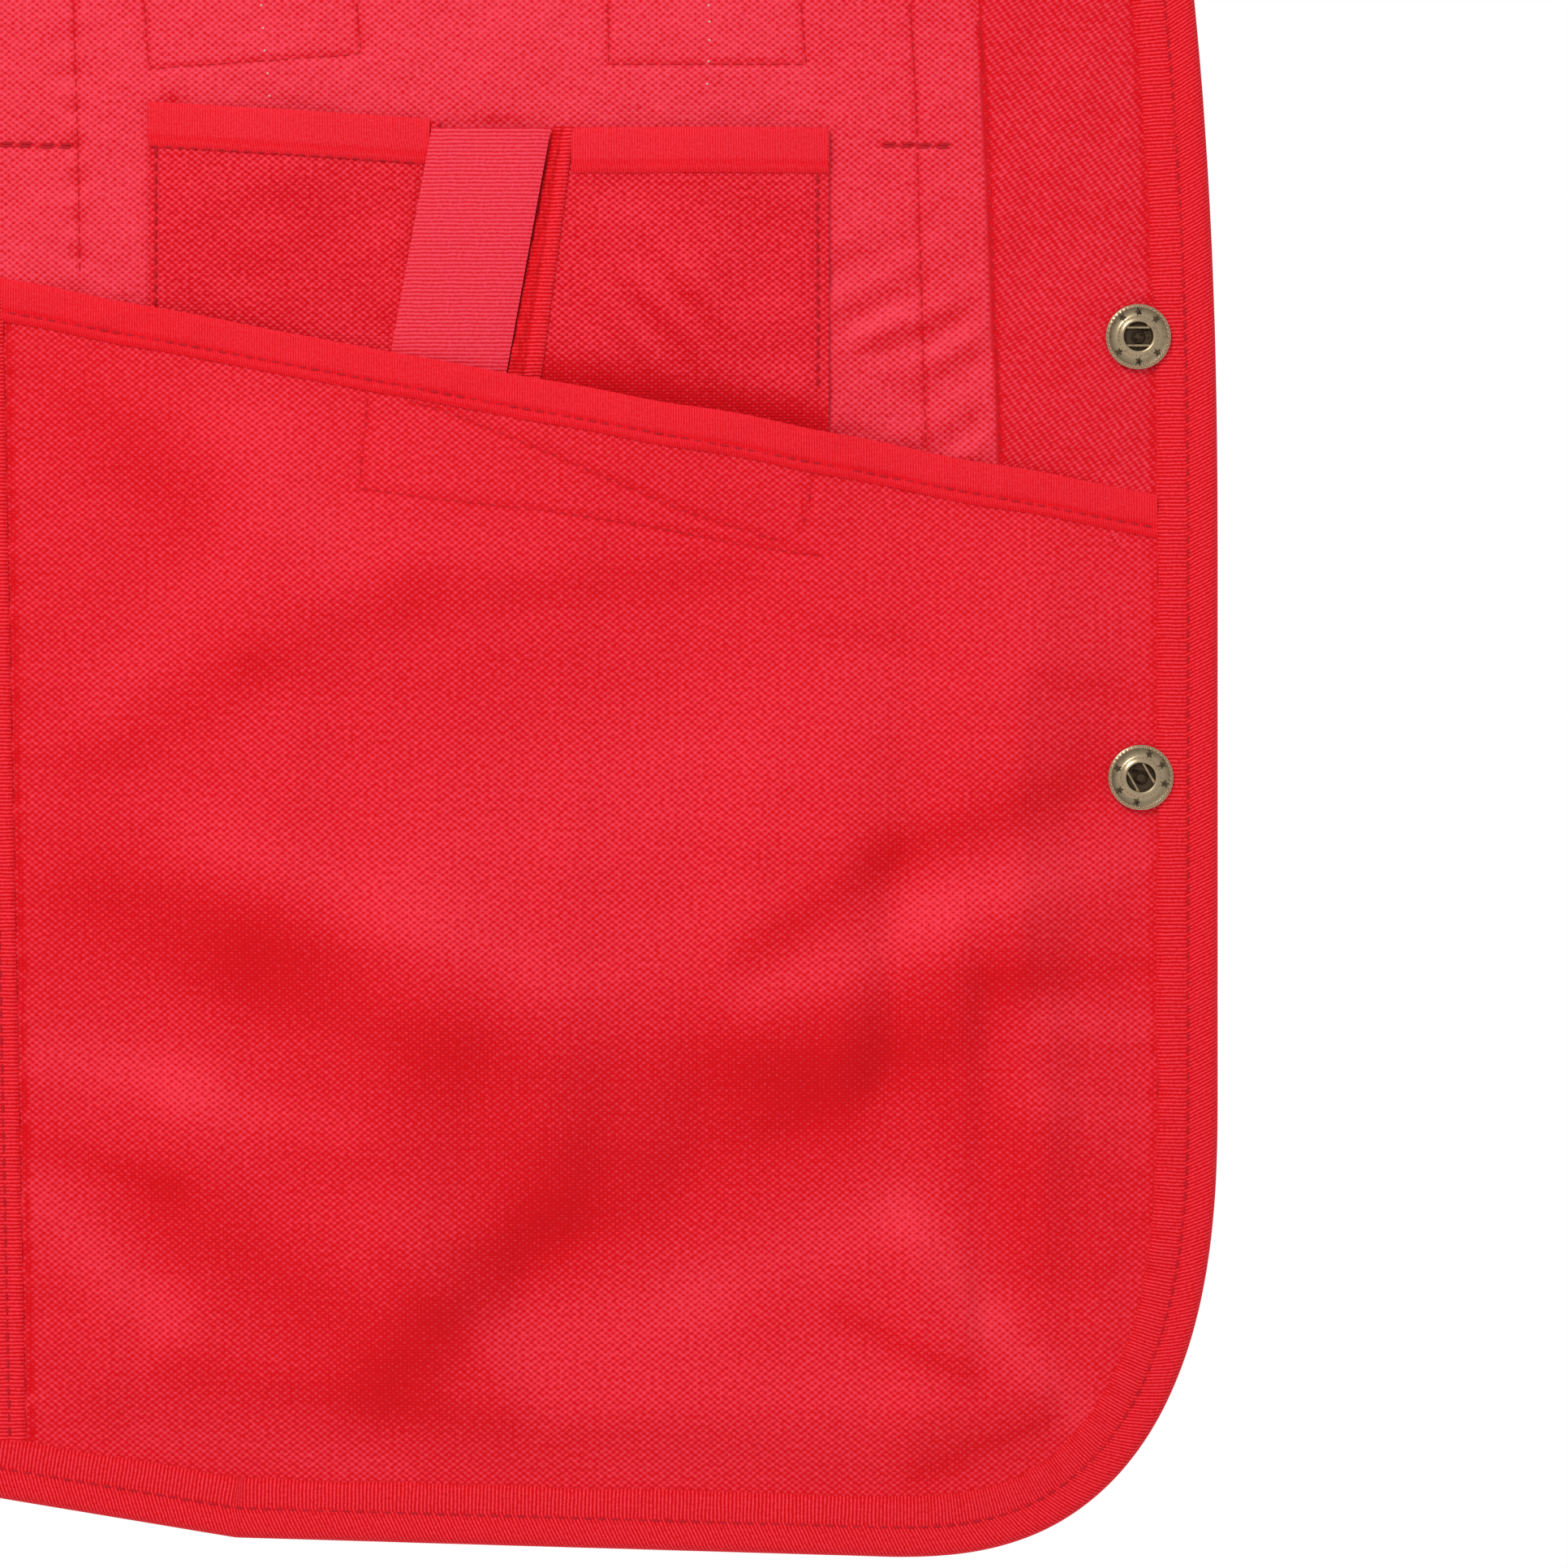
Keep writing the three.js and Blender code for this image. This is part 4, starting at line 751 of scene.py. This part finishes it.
def makeSmallPocket(name):
    pocket = smallPockets[name]

    def place(along, up):
        h = lerp(small["low"], lerp(pocket["mouthSide"], pocket["mouthFront"], along), up)
        e = lerp(*smallEdges(name, h), along)
        # painted light: cloth that looks up is painted lighter, cloth that looks down darker
        slope = (smallProud(name, e, h - 0.6) - smallProud(name, e, h + 0.6)) / 1.2
        deepShade = -0.6 * (1 - easeIn(h - mouthAt(e), 0, 10)) if name == "small_pocket_front" else 0
        return e, h, smallProud(name, e, h), np.clip(slope * 1.1, -0.35, 0.3) + deepShade - 0.18

    return clothSheet(name, 110, 120, place, small["wall"], smallPocketCloth, [pocket["node"]])


def makeSmallTape(name):
    pocket = smallPockets[name]

    def place(along, up):
        e = lerp(pocket["tapeSide"], pocket["tapeFront"], along)
        top = lerp(pocket["mouthSide"], pocket["mouthFront"], along) + 0.7
        h = top - tapes["smallMouthWidth"] * (1 - up)
        proud = smallProud(name, e, h) + 0.3 + rolledEdge(up, 0.5)
        # painted shade along the stitched groove and at the tape's lower edge
        line = 0.25 * peak(up, 0.22, 0.06)
        return e, h, proud - line * 0.6, -0.12 - 0.2 * peak(up, 0.03, 0.08) - line

    piece = strip(pocket["tape"], 90, 16, place, mouthBinding, [pocket["node"] + "_binding"])
    setTapeMap(piece, lambda e, h: e, lambda e, h: pocket["mouthSide"] - h)


smallLeft = makeSmallPocket("small_pocket_side")
smallRight = makeSmallPocket("small_pocket_front")
for pocketName in smallPockets:
    makeSmallTape(pocketName)


def tabPlace(along, up):
    h = lerp(small["low"] + 18, small["tabTop"], up)
    e = tabSideAt(h) - small["tabWidth"] * along
    proud = 2.3 + rolledEdge(along, 0.4) + 1.2 * easeIn(up, 0.25, 0.8) + 0.1 * ripple(e, h, 20, 41)
    return e, h, proud, np.full_like(e, 0.02)


tabPiece = clothSheet("webbing_strap", 50, 110, tabPlace, 1.0, webbingCloth, ["webbing_tab"])
setTapeMap(tabPiece, lambda e, h: h, lambda e, h: tabSideAt(h) - e)


def boundPlace(along, up):
    h = lerp(small["low"] + 14, small["tabTop"] + 0.3, up)
    e = lerp(boundSideAt(h), boundFrontAt(h), along)
    frayed = 0.35 * ripple(e * 2, h, 3.2, 51) * easeIn(0.5 - along, 0, 0.15)
    proud = 2.0 + rolledEdge(along, 0.5) + frayed - 0.5 * peak(along, 0.5, 0.12)
    # darker on the side half; the frays are painted lighter where they stand up, a painted highlight
    return e, h, proud, -0.25 - 0.5 * easeIn(0.55 - along, 0, 0.1) + 0.3 * frayed


boundPiece = strip("bound_pocket_edge", 24, 160, boundPlace, ribbedTape, ["small_pocket_bound_edge"])
setTapeMap(boundPiece, lambda e, h: h, lambda e, h: boundSideAt(h) - e)
print("vest: facing and small pockets made")

# Edge tape of the open front, folded round the cloth
edgeTape = {"wall": 0.5, "samples": 620, "across": 34, "stitchDepth": 7.1, "cornerRun": 330,
            "section": [(14.3, 0.5), (14.2, 1.35), (13.2, 1.75), (9.5, 1.85), (7.8, 1.7), (7.1, 1.45),
                        (6.4, 1.7), (4.0, 1.8), (1.6, 1.6), (0.5, 0.9), (0.0, -0.6), (0.5, -2.0),
                        (1.6, -2.6), (4.0, -2.75), (7.1, -2.5), (10.0, -2.75), (13.6, -2.6), (14.2, -2.2),
                        (14.3, -1.6)]}  # depth from the edge, height over the inside


def edgePath():
    # e and h of the outline, from the top of the shown part round the corner to the side
    down = np.linspace(front["shownHeight"] + 0.6, front["cornerHeight"], 400)
    turn = np.linspace(0, math.pi / 2, 400)[1:]
    power = 2 / front["cornerPower"]
    cornerE = front["cornerWidth"] - front["cornerWidth"] * np.cos(turn) ** power
    cornerH = front["cornerHeight"] - front["cornerHeight"] * np.sin(turn) ** power
    along = np.linspace(front["cornerWidth"], front["flatWidth"] + 0.8, 400)[1:]
    e = np.concatenate([leanAt(down), cornerE, along])
    h = np.concatenate([down, cornerH, hemAt(along)])
    length = np.concatenate([[0], np.cumsum(np.hypot(np.diff(e), np.diff(h)))])
    return e, h, length


pathE, pathH, pathLength = edgePath()


def pathAt(distance):
    e, h = np.interp(distance, pathLength, pathE), np.interp(distance, pathLength, pathH)
    eNext, hNext = np.interp(distance + 1.5, pathLength, pathE), np.interp(distance + 1.5, pathLength, pathH)
    ePast, hPast = np.interp(distance - 1.5, pathLength, pathE), np.interp(distance - 1.5, pathLength, pathH)
    size = np.hypot(eNext - ePast, hNext - hPast)
    return e, h, -(hNext - hPast) / size, (eNext - ePast) / size  # the last two point inwards


def sectionAt(share):
    depth = np.array([spot[0] for spot in edgeTape["section"]])
    proud = np.array([spot[1] for spot in edgeTape["section"]])
    length = np.concatenate([[0], np.cumsum(np.hypot(np.diff(depth), np.diff(proud)))])
    distance = share * length[-1]
    return np.interp(distance, length, depth), np.interp(distance, length, proud), distance


def makeEdgeTape():
    piece, share, roundTape = startGrid("edge_tape", edgeTape["samples"], edgeTape["across"])
    distance = share * pathLength[-1]
    depth, proud, across = sectionAt(roundTape)
    e, h, inE, inH = pathAt(distance)
    turning = peak(distance, edgeTape["cornerRun"], 75)  # more gathers round the corner
    inner = easeIn(depth, 7.4, 13) * (proud > 0)
    pleats = wave(distance, 8.6, 2.6 * ripple(distance, 0 * distance, 52, 61))
    pleats = pleats * (0.55 + 0.45 * ripple(distance, 0 * distance, 30, 64))
    proud = proud + inner * (0.08 + 0.24 * turning) * pleats + 0.1 * ripple(distance, across, 14, 62)
    depth = depth + inner * 0.3 * ripple(distance, 0 * distance, 24, 63)
    proud = proud + 0.4 * inner * easeIn(mouthAt(e) - h, 0, 2)  # the pocket lies under the tape here
    setPlaces(piece.data, frontPlaces(e + inE * depth, h + inH * depth, proud))
    setWeaveMap(piece.data, distance / 1000, across / 1000)
    pleatShade = np.clip(-pleats, 0, 1) * inner * (0.1 + 0.35 * turning)
    stitchShade = 0.35 * peak(depth, edgeTape["stitchDepth"], 0.5) * (proud > 0)
    outerHalf = 0.06 * easeIn(edgeTape["stitchDepth"] - depth, 0, 0.5)
    # painted shadow along the tape's inner border
    borderShadow = 0.3 * easeIn(depth, 12.9, 13.9) * (proud > 0)
    setShade(piece.data, "paintedShadeAndTone", -0.22 - pleatShade - stitchShade - outerHalf - borderShadow)
    giveWall(piece, edgeTape["wall"])
    return finishPiece(piece, ribbedTape)


makeEdgeTape()
print("vest: edge tape made")


# The rest of the cloth: softened copies of the solids, with gentle drape
drape = {"depth": 0.0075, "fine": 0.0016, "levels": 2, "sideOverlap": 0.001, "shoulderOverlap": 0.0034,
         "seamWidth": 0.011}


def drapeMove(places):
    x, y, z = places[:, 0], places[:, 1], places[:, 2]
    low = easeIn(-z, 0.05, 0.55)
    turn = np.arctan2(y, x)
    soft = (ripple(x, z, 0.13, 71, 3.5) + ripple(y, z, 0.11, 73, 3.5)) * 0.6 * drape["depth"]
    soft = soft * (0.3 + 0.7 * low)
    fine = (ripple(x, z, 0.045, 72, 1.8) + ripple(y, z, 0.05, 74, 1.8)) * 0.6 * drape["fine"]
    thrownOpen = easeIn(x, 0.185, 0.211) * easeIn(-y, -0.03, 0.0)  # the open front lies level
    nearFront = (1 - easeIn(np.abs(x), 0.03, 0.085)) * easeIn(-y, 0.0, 0.03)
    free = (1 - thrownOpen) * (1 - nearFront)
    outward = np.stack([np.cos(turn), np.sin(turn), np.zeros_like(z)], 1)
    moved = places + outward * ((soft + fine) * free)[:, None]
    overlap = lerp(drape["sideOverlap"], drape["shoulderOverlap"], easeIn(z, -0.1, -0.06))
    moved[:, 1] -= np.sign(y) * overlap * (1 - easeIn(np.abs(y), 0, drape["seamWidth"]))  # the seams close
    return moved


def mapRound(places):
    return 0.19 * np.arctan2(places[:, 1], places[:, 0]), places[:, 2]


def mapFlat(places):
    return places[:, 0], places[:, 2]


def mapArmhole(places):
    turn = np.arctan2(places[:, 2] + 0.13, places[:, 1])
    return 0.1 * turn, np.abs(places[:, 0]) * 0.6


def mapUp(places):
    return places[:, 2], places[:, 0]


def holdEdges(piece):
    # cut edges and corners stay where they are when the cloth is rounded
    mesh = piece.data
    faceNormals = {}
    for face in mesh.polygons:
        for key in face.edge_keys:
            faceNormals.setdefault(key, []).append(face.normal.copy())
    crease = mesh.attributes.new("crease_edge", "FLOAT", "EDGE")
    sharpAt = {}
    for edge in mesh.edges:
        normals = faceNormals.get(edge.key, [])
        if len(normals) != 2 or normals[0].angle(normals[1], 0) > math.radians(42):
            crease.data[edge.index].value = 1.0
            for corner in edge.vertices:
                sharpAt.setdefault(corner, []).append(edge)
    corners = mesh.attributes.new("crease_vert", "FLOAT", "POINT")
    for corner, edges in sharpAt.items():
        if len(edges) > 2:
            corners.data[corner].value = 1.0


def softCopy(node, name, material, mapping, cut=False):
    clearSelection()
    piece = copyOf(nodes[node])
    for key in list(piece.keys()):
        del piece[key]
    piece.parent = None
    piece.name = name
    pick(piece)
    startEdit()
    bpy.ops.mesh.remove_doubles(threshold=0.00001)
    if cut:
        # the shown part has its own detailed tape
        topZ = hemZ + front["shownHeight"] / 1000
        sideX = edgeX - front["flatWidth"] / 1000
        bpy.ops.mesh.bisect(plane_co=(0, 0, topZ), plane_no=(0, 0, 1))
        bpy.ops.mesh.select_all(action="SELECT")
        bpy.ops.mesh.bisect(plane_co=(sideX, 0, 0), plane_no=(1, 0, 0))
        bpy.ops.mesh.select_all(action="DESELECT")
        bpy.ops.object.mode_set(mode="OBJECT")
        for face in piece.data.polygons:
            face.select = face.center.z < topZ and face.center.x > sideX
        bpy.ops.object.mode_set(mode="EDIT")
        bpy.context.tool_settings.mesh_select_mode = (False, False, True)
        bpy.ops.mesh.delete(type="FACE")
        bpy.context.tool_settings.mesh_select_mode = (True, False, False)
        bpy.ops.mesh.select_all(action="SELECT")
    bpy.ops.mesh.tris_convert_to_quads(face_threshold=math.radians(50), shape_threshold=math.radians(60))
    bpy.ops.object.mode_set(mode="OBJECT")
    holdEdges(piece)
    smooth = piece.modifiers.new("smooth", "SUBSURF")
    smooth.levels = smooth.render_levels = drape["levels"]
    applyModifiers(piece)
    places = drapeMove(placesOf(piece.data))
    setPlaces(piece.data, places)
    across, up = mapping(places)
    setWeaveMap(piece.data, across, up)
    deeper = 0.24 if material is oxfordCloth else 0.15
    setShade(piece.data, "paintedShadeAndTone", 0.06 * ripple(across * 1000, up * 1000, 60, 81) - deeper)
    smoothShade(piece, 50)
    return finishPiece(piece, material, [node])


backPiece = softCopy("back_panel", "back_cloth", oxfordCloth, mapRound)
rightPiece = softCopy("right_front_panel", "right_front_cloth", oxfordCloth, mapRound)
leftPiece = softCopy("left_front_panel", "left_front_cloth", oxfordCloth, mapFlat)


def shadeInside(piece):
    mesh = piece.data
    places = placesOf(mesh)
    normals = np.array([vertex.normal for vertex in mesh.vertices])
    edge = placesOf(nodes["left_front_binding"].data)
    away = np.array([np.sqrt(((edge - place) ** 2).sum(1).min()) for place in places]) * 1000
    inside = easeIn(-normals[:, 1], -0.2, 0.3)
    setShade(mesh, "paintedShadeAndTone", -0.24 + inside * 0.24 * easeIn(away, 24, 60))


shadeInside(leftPiece)
outerLeft = softCopy("outer_pocket_left", "outer_pocket_left_cloth", oxfordCloth, mapFlat)
outerRight = softCopy("outer_pocket_right", "outer_pocket_right_cloth", oxfordCloth, mapRound)
for node, mapping in (
        ("back_hem_binding", mapRound), ("neck_binding", mapRound), ("right_front_binding", mapUp),
        ("left_front_armhole_binding", mapArmhole), ("right_front_armhole_binding", mapArmhole),
        ("left_back_armhole_binding", mapArmhole), ("right_back_armhole_binding", mapArmhole),
        ("outer_pocket_left_binding", mapFlat), ("outer_pocket_right_binding", mapRound)):
    softCopy(node, node.replace("binding", "tape"), ribbedTape, mapping)
softCopy("left_front_binding", "left_front_upper_tape", ribbedTape, mapUp, cut=True)
print("vest: cloth softened")

# Snap fasteners
snap = {"radius": 7.5, "beads": 44, "beadRing": 6.95, "beadSize": 0.36, "dots": 30, "dotRing": 4.45,
        "dotSize": 0.21, "starRing": 5.7, "starSize": 0.95, "starTip": 0.00022, "starPlace": 0.00128,
        "starTurns": (45, 90, 130, 219, 271, 320), "holeRadius": 3.35,
        "socket": [(0.35, 0.25), (0.35, 0.1), (0.25, -0.16), (1.5, 0.0), (0.35, 0.22), (0.5, 0.42), (0.4, 0.14),
                   (0.35, -0.1), (0.25, -0.6), (0.2, -0.8)],
        "cap": [(0.4, 0.45), (0.8, 0.45), (1.4, 0.35), (2.0, 0.2), (1.6, 0.05)],
        "stud": [(0.35, 0.2), (0.5, 0.1), (0.4, -0.2), (1.7, 0.0), (0.4, 0.3), (0.25, 1.3), (0.2, 0.35),
                 (0.5, 0.15)],
        "post": [(0.4, 0.25), (1.6, 0.1), (1.8, -0.2), (0.6, -0.3)]}


def turnedDisc(name, radius, thickness, steps):
    clearSelection()
    bpy.ops.mesh.primitive_circle_add(vertices=72, radius=radius / 1000, fill_type="NGON")
    piece = bpy.context.object
    piece.name = name
    startEdit()
    bpy.ops.mesh.extrude_region_move(TRANSFORM_OT_translate={"value": (0, 0, thickness / 1000)})
    for inset, rise in steps:
        bpy.ops.mesh.inset(thickness=inset / 1000)
        bpy.ops.transform.translate(value=(0, 0, rise / 1000))
    endEdit()
    return piece


def joinPieces(pieces, name):
    clearSelection()
    for piece in pieces:
        piece.select_set(True)
    bpy.context.view_layer.objects.active = pieces[0]
    bpy.ops.object.join()
    joined = bpy.context.object
    joined.name = name
    return joined


def ringOf(seedPiece, count, radius, height):
    places, faces = placesOf(seedPiece.data), [tuple(face.vertices) for face in seedPiece.data.polygons]
    allPlaces, allFaces = [], []
    for number in range(count):
        turn = 2 * math.pi * number / count
        spot = np.array([math.cos(turn) * radius, math.sin(turn) * radius, height]) / 1000
        allFaces += [tuple(corner + len(places) * number for corner in face) for face in faces]
        allPlaces.append(places + spot)
    piece = meshPiece(seedPiece.name + "_ring", allPlaces, allFaces)
    bpy.data.objects.remove(seedPiece)
    return piece


def makeBead(size):
    clearSelection()
    bpy.ops.mesh.primitive_ico_sphere_add(subdivisions=2, radius=size / 1000)
    return bpy.context.object


def makeStar(turn):
    clearSelection()
    bpy.ops.mesh.primitive_circle_add(vertices=10, radius=snap["starSize"] / 1000, fill_type="NGON")
    star = bpy.context.object
    places = placesOf(star.data)
    places[1::2] *= 0.45
    setPlaces(star.data, places)
    startEdit()
    bpy.ops.mesh.extrude_region_move(TRANSFORM_OT_translate={"value": (0, 0, snap["starTip"])})
    endEdit()
    ring = snap["starRing"] / 1000
    spot = Matrix.Translation((math.cos(turn) * ring, math.sin(turn) * ring, snap["starPlace"]))
    star.data.transform(spot @ Matrix.Rotation(turn, 4, "Z"))
    return star


def makeSocket():
    body = turnedDisc("socket", snap["radius"], 1.1, snap["socket"])
    parts = [body, ringOf(makeBead(snap["beadSize"]), snap["beads"], snap["beadRing"], 1.38),
             ringOf(makeBead(snap["dotSize"]), snap["dots"], snap["dotRing"], 1.5)]
    parts += [makeStar(math.radians(degrees)) for degrees in snap["starTurns"]]
    markStart = sum(len(part.data.vertices) for part in parts[:2])
    markEnd = sum(len(part.data.vertices) for part in parts)
    for side in (-1, 1):
        clearSelection()
        bpy.ops.mesh.primitive_cylinder_add(vertices=10, radius=0.0003, depth=0.0058,
                                            rotation=(0, math.radians(90), 0))
        wire = bpy.context.object
        bpy.ops.object.transform_apply(location=True, rotation=True, scale=True)
        wire.data.transform(Matrix.Translation((0, side * 0.0021, 0.0013)))
        parts.append(wire)
    clearSelection()
    bpy.ops.mesh.primitive_torus_add(major_radius=0.0013, minor_radius=0.00035, major_segments=28,
                                     minor_segments=8)
    ring = bpy.context.object
    ring.data.transform(Matrix.Translation((0, 0, 0.0007)))
    parts.append(ring)
    piece = joinPieces(parts, "socket")
    places = placesOf(piece.data) * 1000
    radius = np.hypot(places[:, 0], places[:, 1])
    hole = 1 - easeIn(radius, snap["holeRadius"] - 0.45, snap["holeRadius"] + 0.05)
    groove = 0.6 * peak(radius, 6.6, 0.2) + 0.3 * peak(radius, 4.85, 0.12)
    marks = np.zeros(len(places))
    marks[markStart:markEnd] = 0.85  # stars and dots are dark in their hollows
    setShade(piece.data, "recess", np.clip(hole * 0.95 + groove * (places[:, 2] < 1.45) + marks, 0, 1))
    return piece


def plainFinish(piece, rim):
    places = placesOf(piece.data) * 1000
    radius = np.hypot(places[:, 0], places[:, 1])
    setShade(piece.data, "recess", 0.5 * peak(radius, rim, 0.3))
    return piece


def poseOf(node):
    # middle of its base and face direction of a snap part
    places = placesOf(nodes[node].data)
    middle = places.mean(0)
    axis = np.linalg.svd(places - middle)[2][2]
    facesFront = node.startswith(("snap_socket", "snap_stud"))
    if (axis[1] < 0) != facesFront:
        axis = -axis
    reach = (places - middle) @ axis
    return Vector(middle + axis * reach.min()), Vector(axis)


def seatSnap(pattern, node, turn=0.0):
    piece = copyOf(pattern)
    base, axis = poseOf(node)
    if node.startswith("snap_socket"):
        base = base - axis * 0.0002
    across = Vector((0, 0, 1)).cross(axis).normalized()
    upward = axis.cross(across)
    turned = Matrix((across, upward, axis)).transposed().to_4x4()
    piece.data.transform(Matrix.Translation(base) @ turned @ Matrix.Rotation(turn, 4, "Z"))
    piece.name = node.replace("snap", "brass")
    smoothShade(piece, 35)
    return finishPiece(piece, antiqueBrass, [node])


patterns = {
    "socket": makeSocket(),
    "cap": plainFinish(turnedDisc("cap", 7.5, 0.6, snap["cap"]), 7.0),
    "stud": plainFinish(turnedDisc("stud", 6.75, 0.9, snap["stud"]), 5.6),
    "post": plainFinish(turnedDisc("post", 5.6, 0.7, snap["post"]), 3.4),
}
turns = {1: math.radians(-60), 2: 0.0, 3: math.radians(25), 4: math.radians(70)}
for kind, pattern in patterns.items():
    for number in (1, 2, 3, 4):
        seatSnap(pattern, f"snap_{kind}_{number}", turns[number] if kind == "socket" else 0.0)
    bpy.data.objects.remove(pattern)
print("vest: snaps seated")

# Stitching: one stitch is modelled, then copied along each seam
stitch = {"length": 2.3, "gap": 0.8, "radius": 0.3, "sides": 6}


def makeStitch():
    clearSelection()
    bpy.ops.mesh.primitive_uv_sphere_add(segments=stitch["sides"], ring_count=5, radius=0.5,
                                         rotation=(0, math.radians(90), 0))
    one = bpy.context.object
    bpy.ops.object.transform_apply(location=True, rotation=True, scale=True)
    places = placesOf(one.data)
    faces = [tuple(face.vertices) for face in one.data.polygons]
    bpy.data.objects.remove(one)
    return places, faces


stitchPlaces, stitchFaces = makeStitch()


def sewSeam(name, lines, material, proudOf, length=None, radius=None):
    length, radius = length or stitch["length"], radius or stitch["radius"]
    allPlaces, allFaces = [], []
    for line in lines:
        e, h = np.array(line, float).T
        run = np.concatenate([[0], np.cumsum(np.hypot(np.diff(e), np.diff(h)))])
        pitch = length + stitch["gap"] * length / stitch["length"]
        starts = np.arange(0.3, max(run[-1] - length, 0.31), pitch)
        for start in starts:
            ends = np.interp([start, start + length], run, e), np.interp([start, start + length], run, h)
            proud = proudOf(ends[0], ends[1])
            first, last = frontPlaces(ends[0], ends[1], proud + 0.02)
            along = last - first
            unit = along / np.linalg.norm(along)
            side = np.cross(unit, (0, -1, 0))
            side /= np.linalg.norm(side)
            face = np.cross(side, unit)
            frame3 = np.stack([along, side * radius * 2 / 1000, face * radius * 1.5 / 1000])
            used = len(stitchPlaces) * len(allPlaces)
            allFaces += [tuple(corner + used for corner in item) for item in stitchFaces]
            allPlaces.append((first + last) / 2 + stitchPlaces @ frame3)
    piece = meshPiece(name, allPlaces, allFaces)
    pick(piece)
    startEdit()
    endEdit()
    smoothShade(piece, 80)
    return finishPiece(piece, material)


def level(value):
    return lambda e, h: np.full_like(e, value)


def spotsOnPath(depth):
    distance = np.linspace(1, pathLength[-1] - 1, 500)
    e, h, inE, inH = pathAt(distance)
    return np.stack([e + inE * depth, h + inH * depth], 1)


eLine = np.linspace(15, 281, 200)
hLine = np.linspace(28, 293, 200)
sewSeam("edge_stitching", [spotsOnPath(edgeTape["stitchDepth"])], redThread, level(1.6))
sewSeam("mouth_stitching", [np.stack([eLine, mouthAt(eLine) - 7.2], 1)], redThread,
        lambda e, h: largeProud(e, h) + 0.5)
sewSeam("side_stitching", [np.stack([sideAt(hLine) + 3.4, hLine], 1)], redThread, level(1.85))
sewSeam("rectangle_stitching", rectangleLines, redThread, lambda e, h: largeProud(e, h), length=2.0, radius=0.2)
sewSeam("side_pocket_stitching", [[(245.2, 335), (245.4, 288)], [(247, 326.0), (184, 322.0)]], redThread,
        lambda e, h: smallProud("small_pocket_side", e, h) + 0.3)
sewSeam("front_pocket_stitching", [[(92.7, 329), (92.5, 268)], [(147, 321.8), (92, 322.6)]], redThread,
        lambda e, h: smallProud("small_pocket_front", e, h) + 0.3)
sewSeam("panel_stitching", panelLines, redThread, facingProud, length=2.1, radius=0.2)
bartacks = [(282.0, 326.4), (272.6, 326.1), (78.2, 326.3), (70.0, 326.1)]  # e and h of the side end
bartackLines = [[(e + slip, h + lift), (e + slip - 9, h + lift)]
                for e, h in bartacks for slip, lift in ((0, -0.35), (-0.4, 0.35))]
sewSeam("bartack_stitching", bartackLines, redThread, facingProud, length=3.2, radius=0.42)
sewSeam("outer_pocket_stitching", [[(70.2, 316), (70.2, 32.2), (261.8, 32.2), (261.8, 316)]], redThread,
        level(-3.9))
creamSpots = [[(e, h), (e - 0.1, h - 0.75)] for e, h in (
    (221.1, 359.1), (220.7, 353.8), (220.3, 348.6), (219.6, 343.3), (219.2, 338.1),
    (117.8, 359.1), (117.6, 355.3), (117.6, 351.0), (117.8, 346.1), (118.1, 340.9))]
sewSeam("cream_stitching", creamSpots, creamThread, facingProud, length=0.7, radius=0.28)
print("vest: stitching done")

# Floor, light and air
studio = {"floorDrop": 0.35, "floorSize": 3.4, "floorTone": 0.85, "sky": 0.74,
          "key": 16.0, "keySize": 0.7, "keyPlace": (-0.35, -1.35, 0.75), "keyTarget": (0.40, 0, -0.42),
          "fill": 10.0, "fillSize": 1.2, "fillPlace": (-0.6, 1.9, 0.9), "fillTarget": (0, 0, -0.3)}
clearSelection()
bpy.ops.mesh.primitive_plane_add(size=studio["floorSize"], location=(0.1, 0, hemZ - studio["floorDrop"]))
floor = bpy.context.object
floor.name = "floor"
floorMaterial, _, floorShader = startMaterial("paleFloor", {"Specular IOR Level": 0.2})
floorShader.inputs["Base Color"].default_value = (studio["floorTone"],) * 3 + (1,)
floorShader.inputs["Roughness"].default_value = 0.9
floor.data.materials.append(floorMaterial)

world = bpy.data.worlds.new("studioAir")
bpy.context.scene.world = world
world.use_nodes = True
airTree = world.node_tree
air = airTree.nodes["Background"]
air.inputs["Color"].default_value = (1, 1, 1, 1)
seen = airTree.nodes.new("ShaderNodeLightPath").outputs["Is Camera Ray"]
airTree.links.new(calc(airTree, "MAXIMUM", seen, studio["sky"]), air.inputs["Strength"])


def softLight(name, place, target, power, size):
    data = bpy.data.lights.new(name, "AREA")
    data.energy, data.size = power, size
    lamp = bpy.data.objects.new(name, data)
    lamp.location = place
    lamp.rotation_euler = (Vector(target) - Vector(place)).to_track_quat("-Z", "Y").to_euler()
    bpy.context.scene.collection.objects.link(lamp)


softLight("keyLight", studio["keyPlace"], studio["keyTarget"], studio["key"], studio["keySize"])
softLight("fillLight", studio["fillPlace"], studio["fillTarget"], studio["fill"], studio["fillSize"])
print("vest: studio ready")
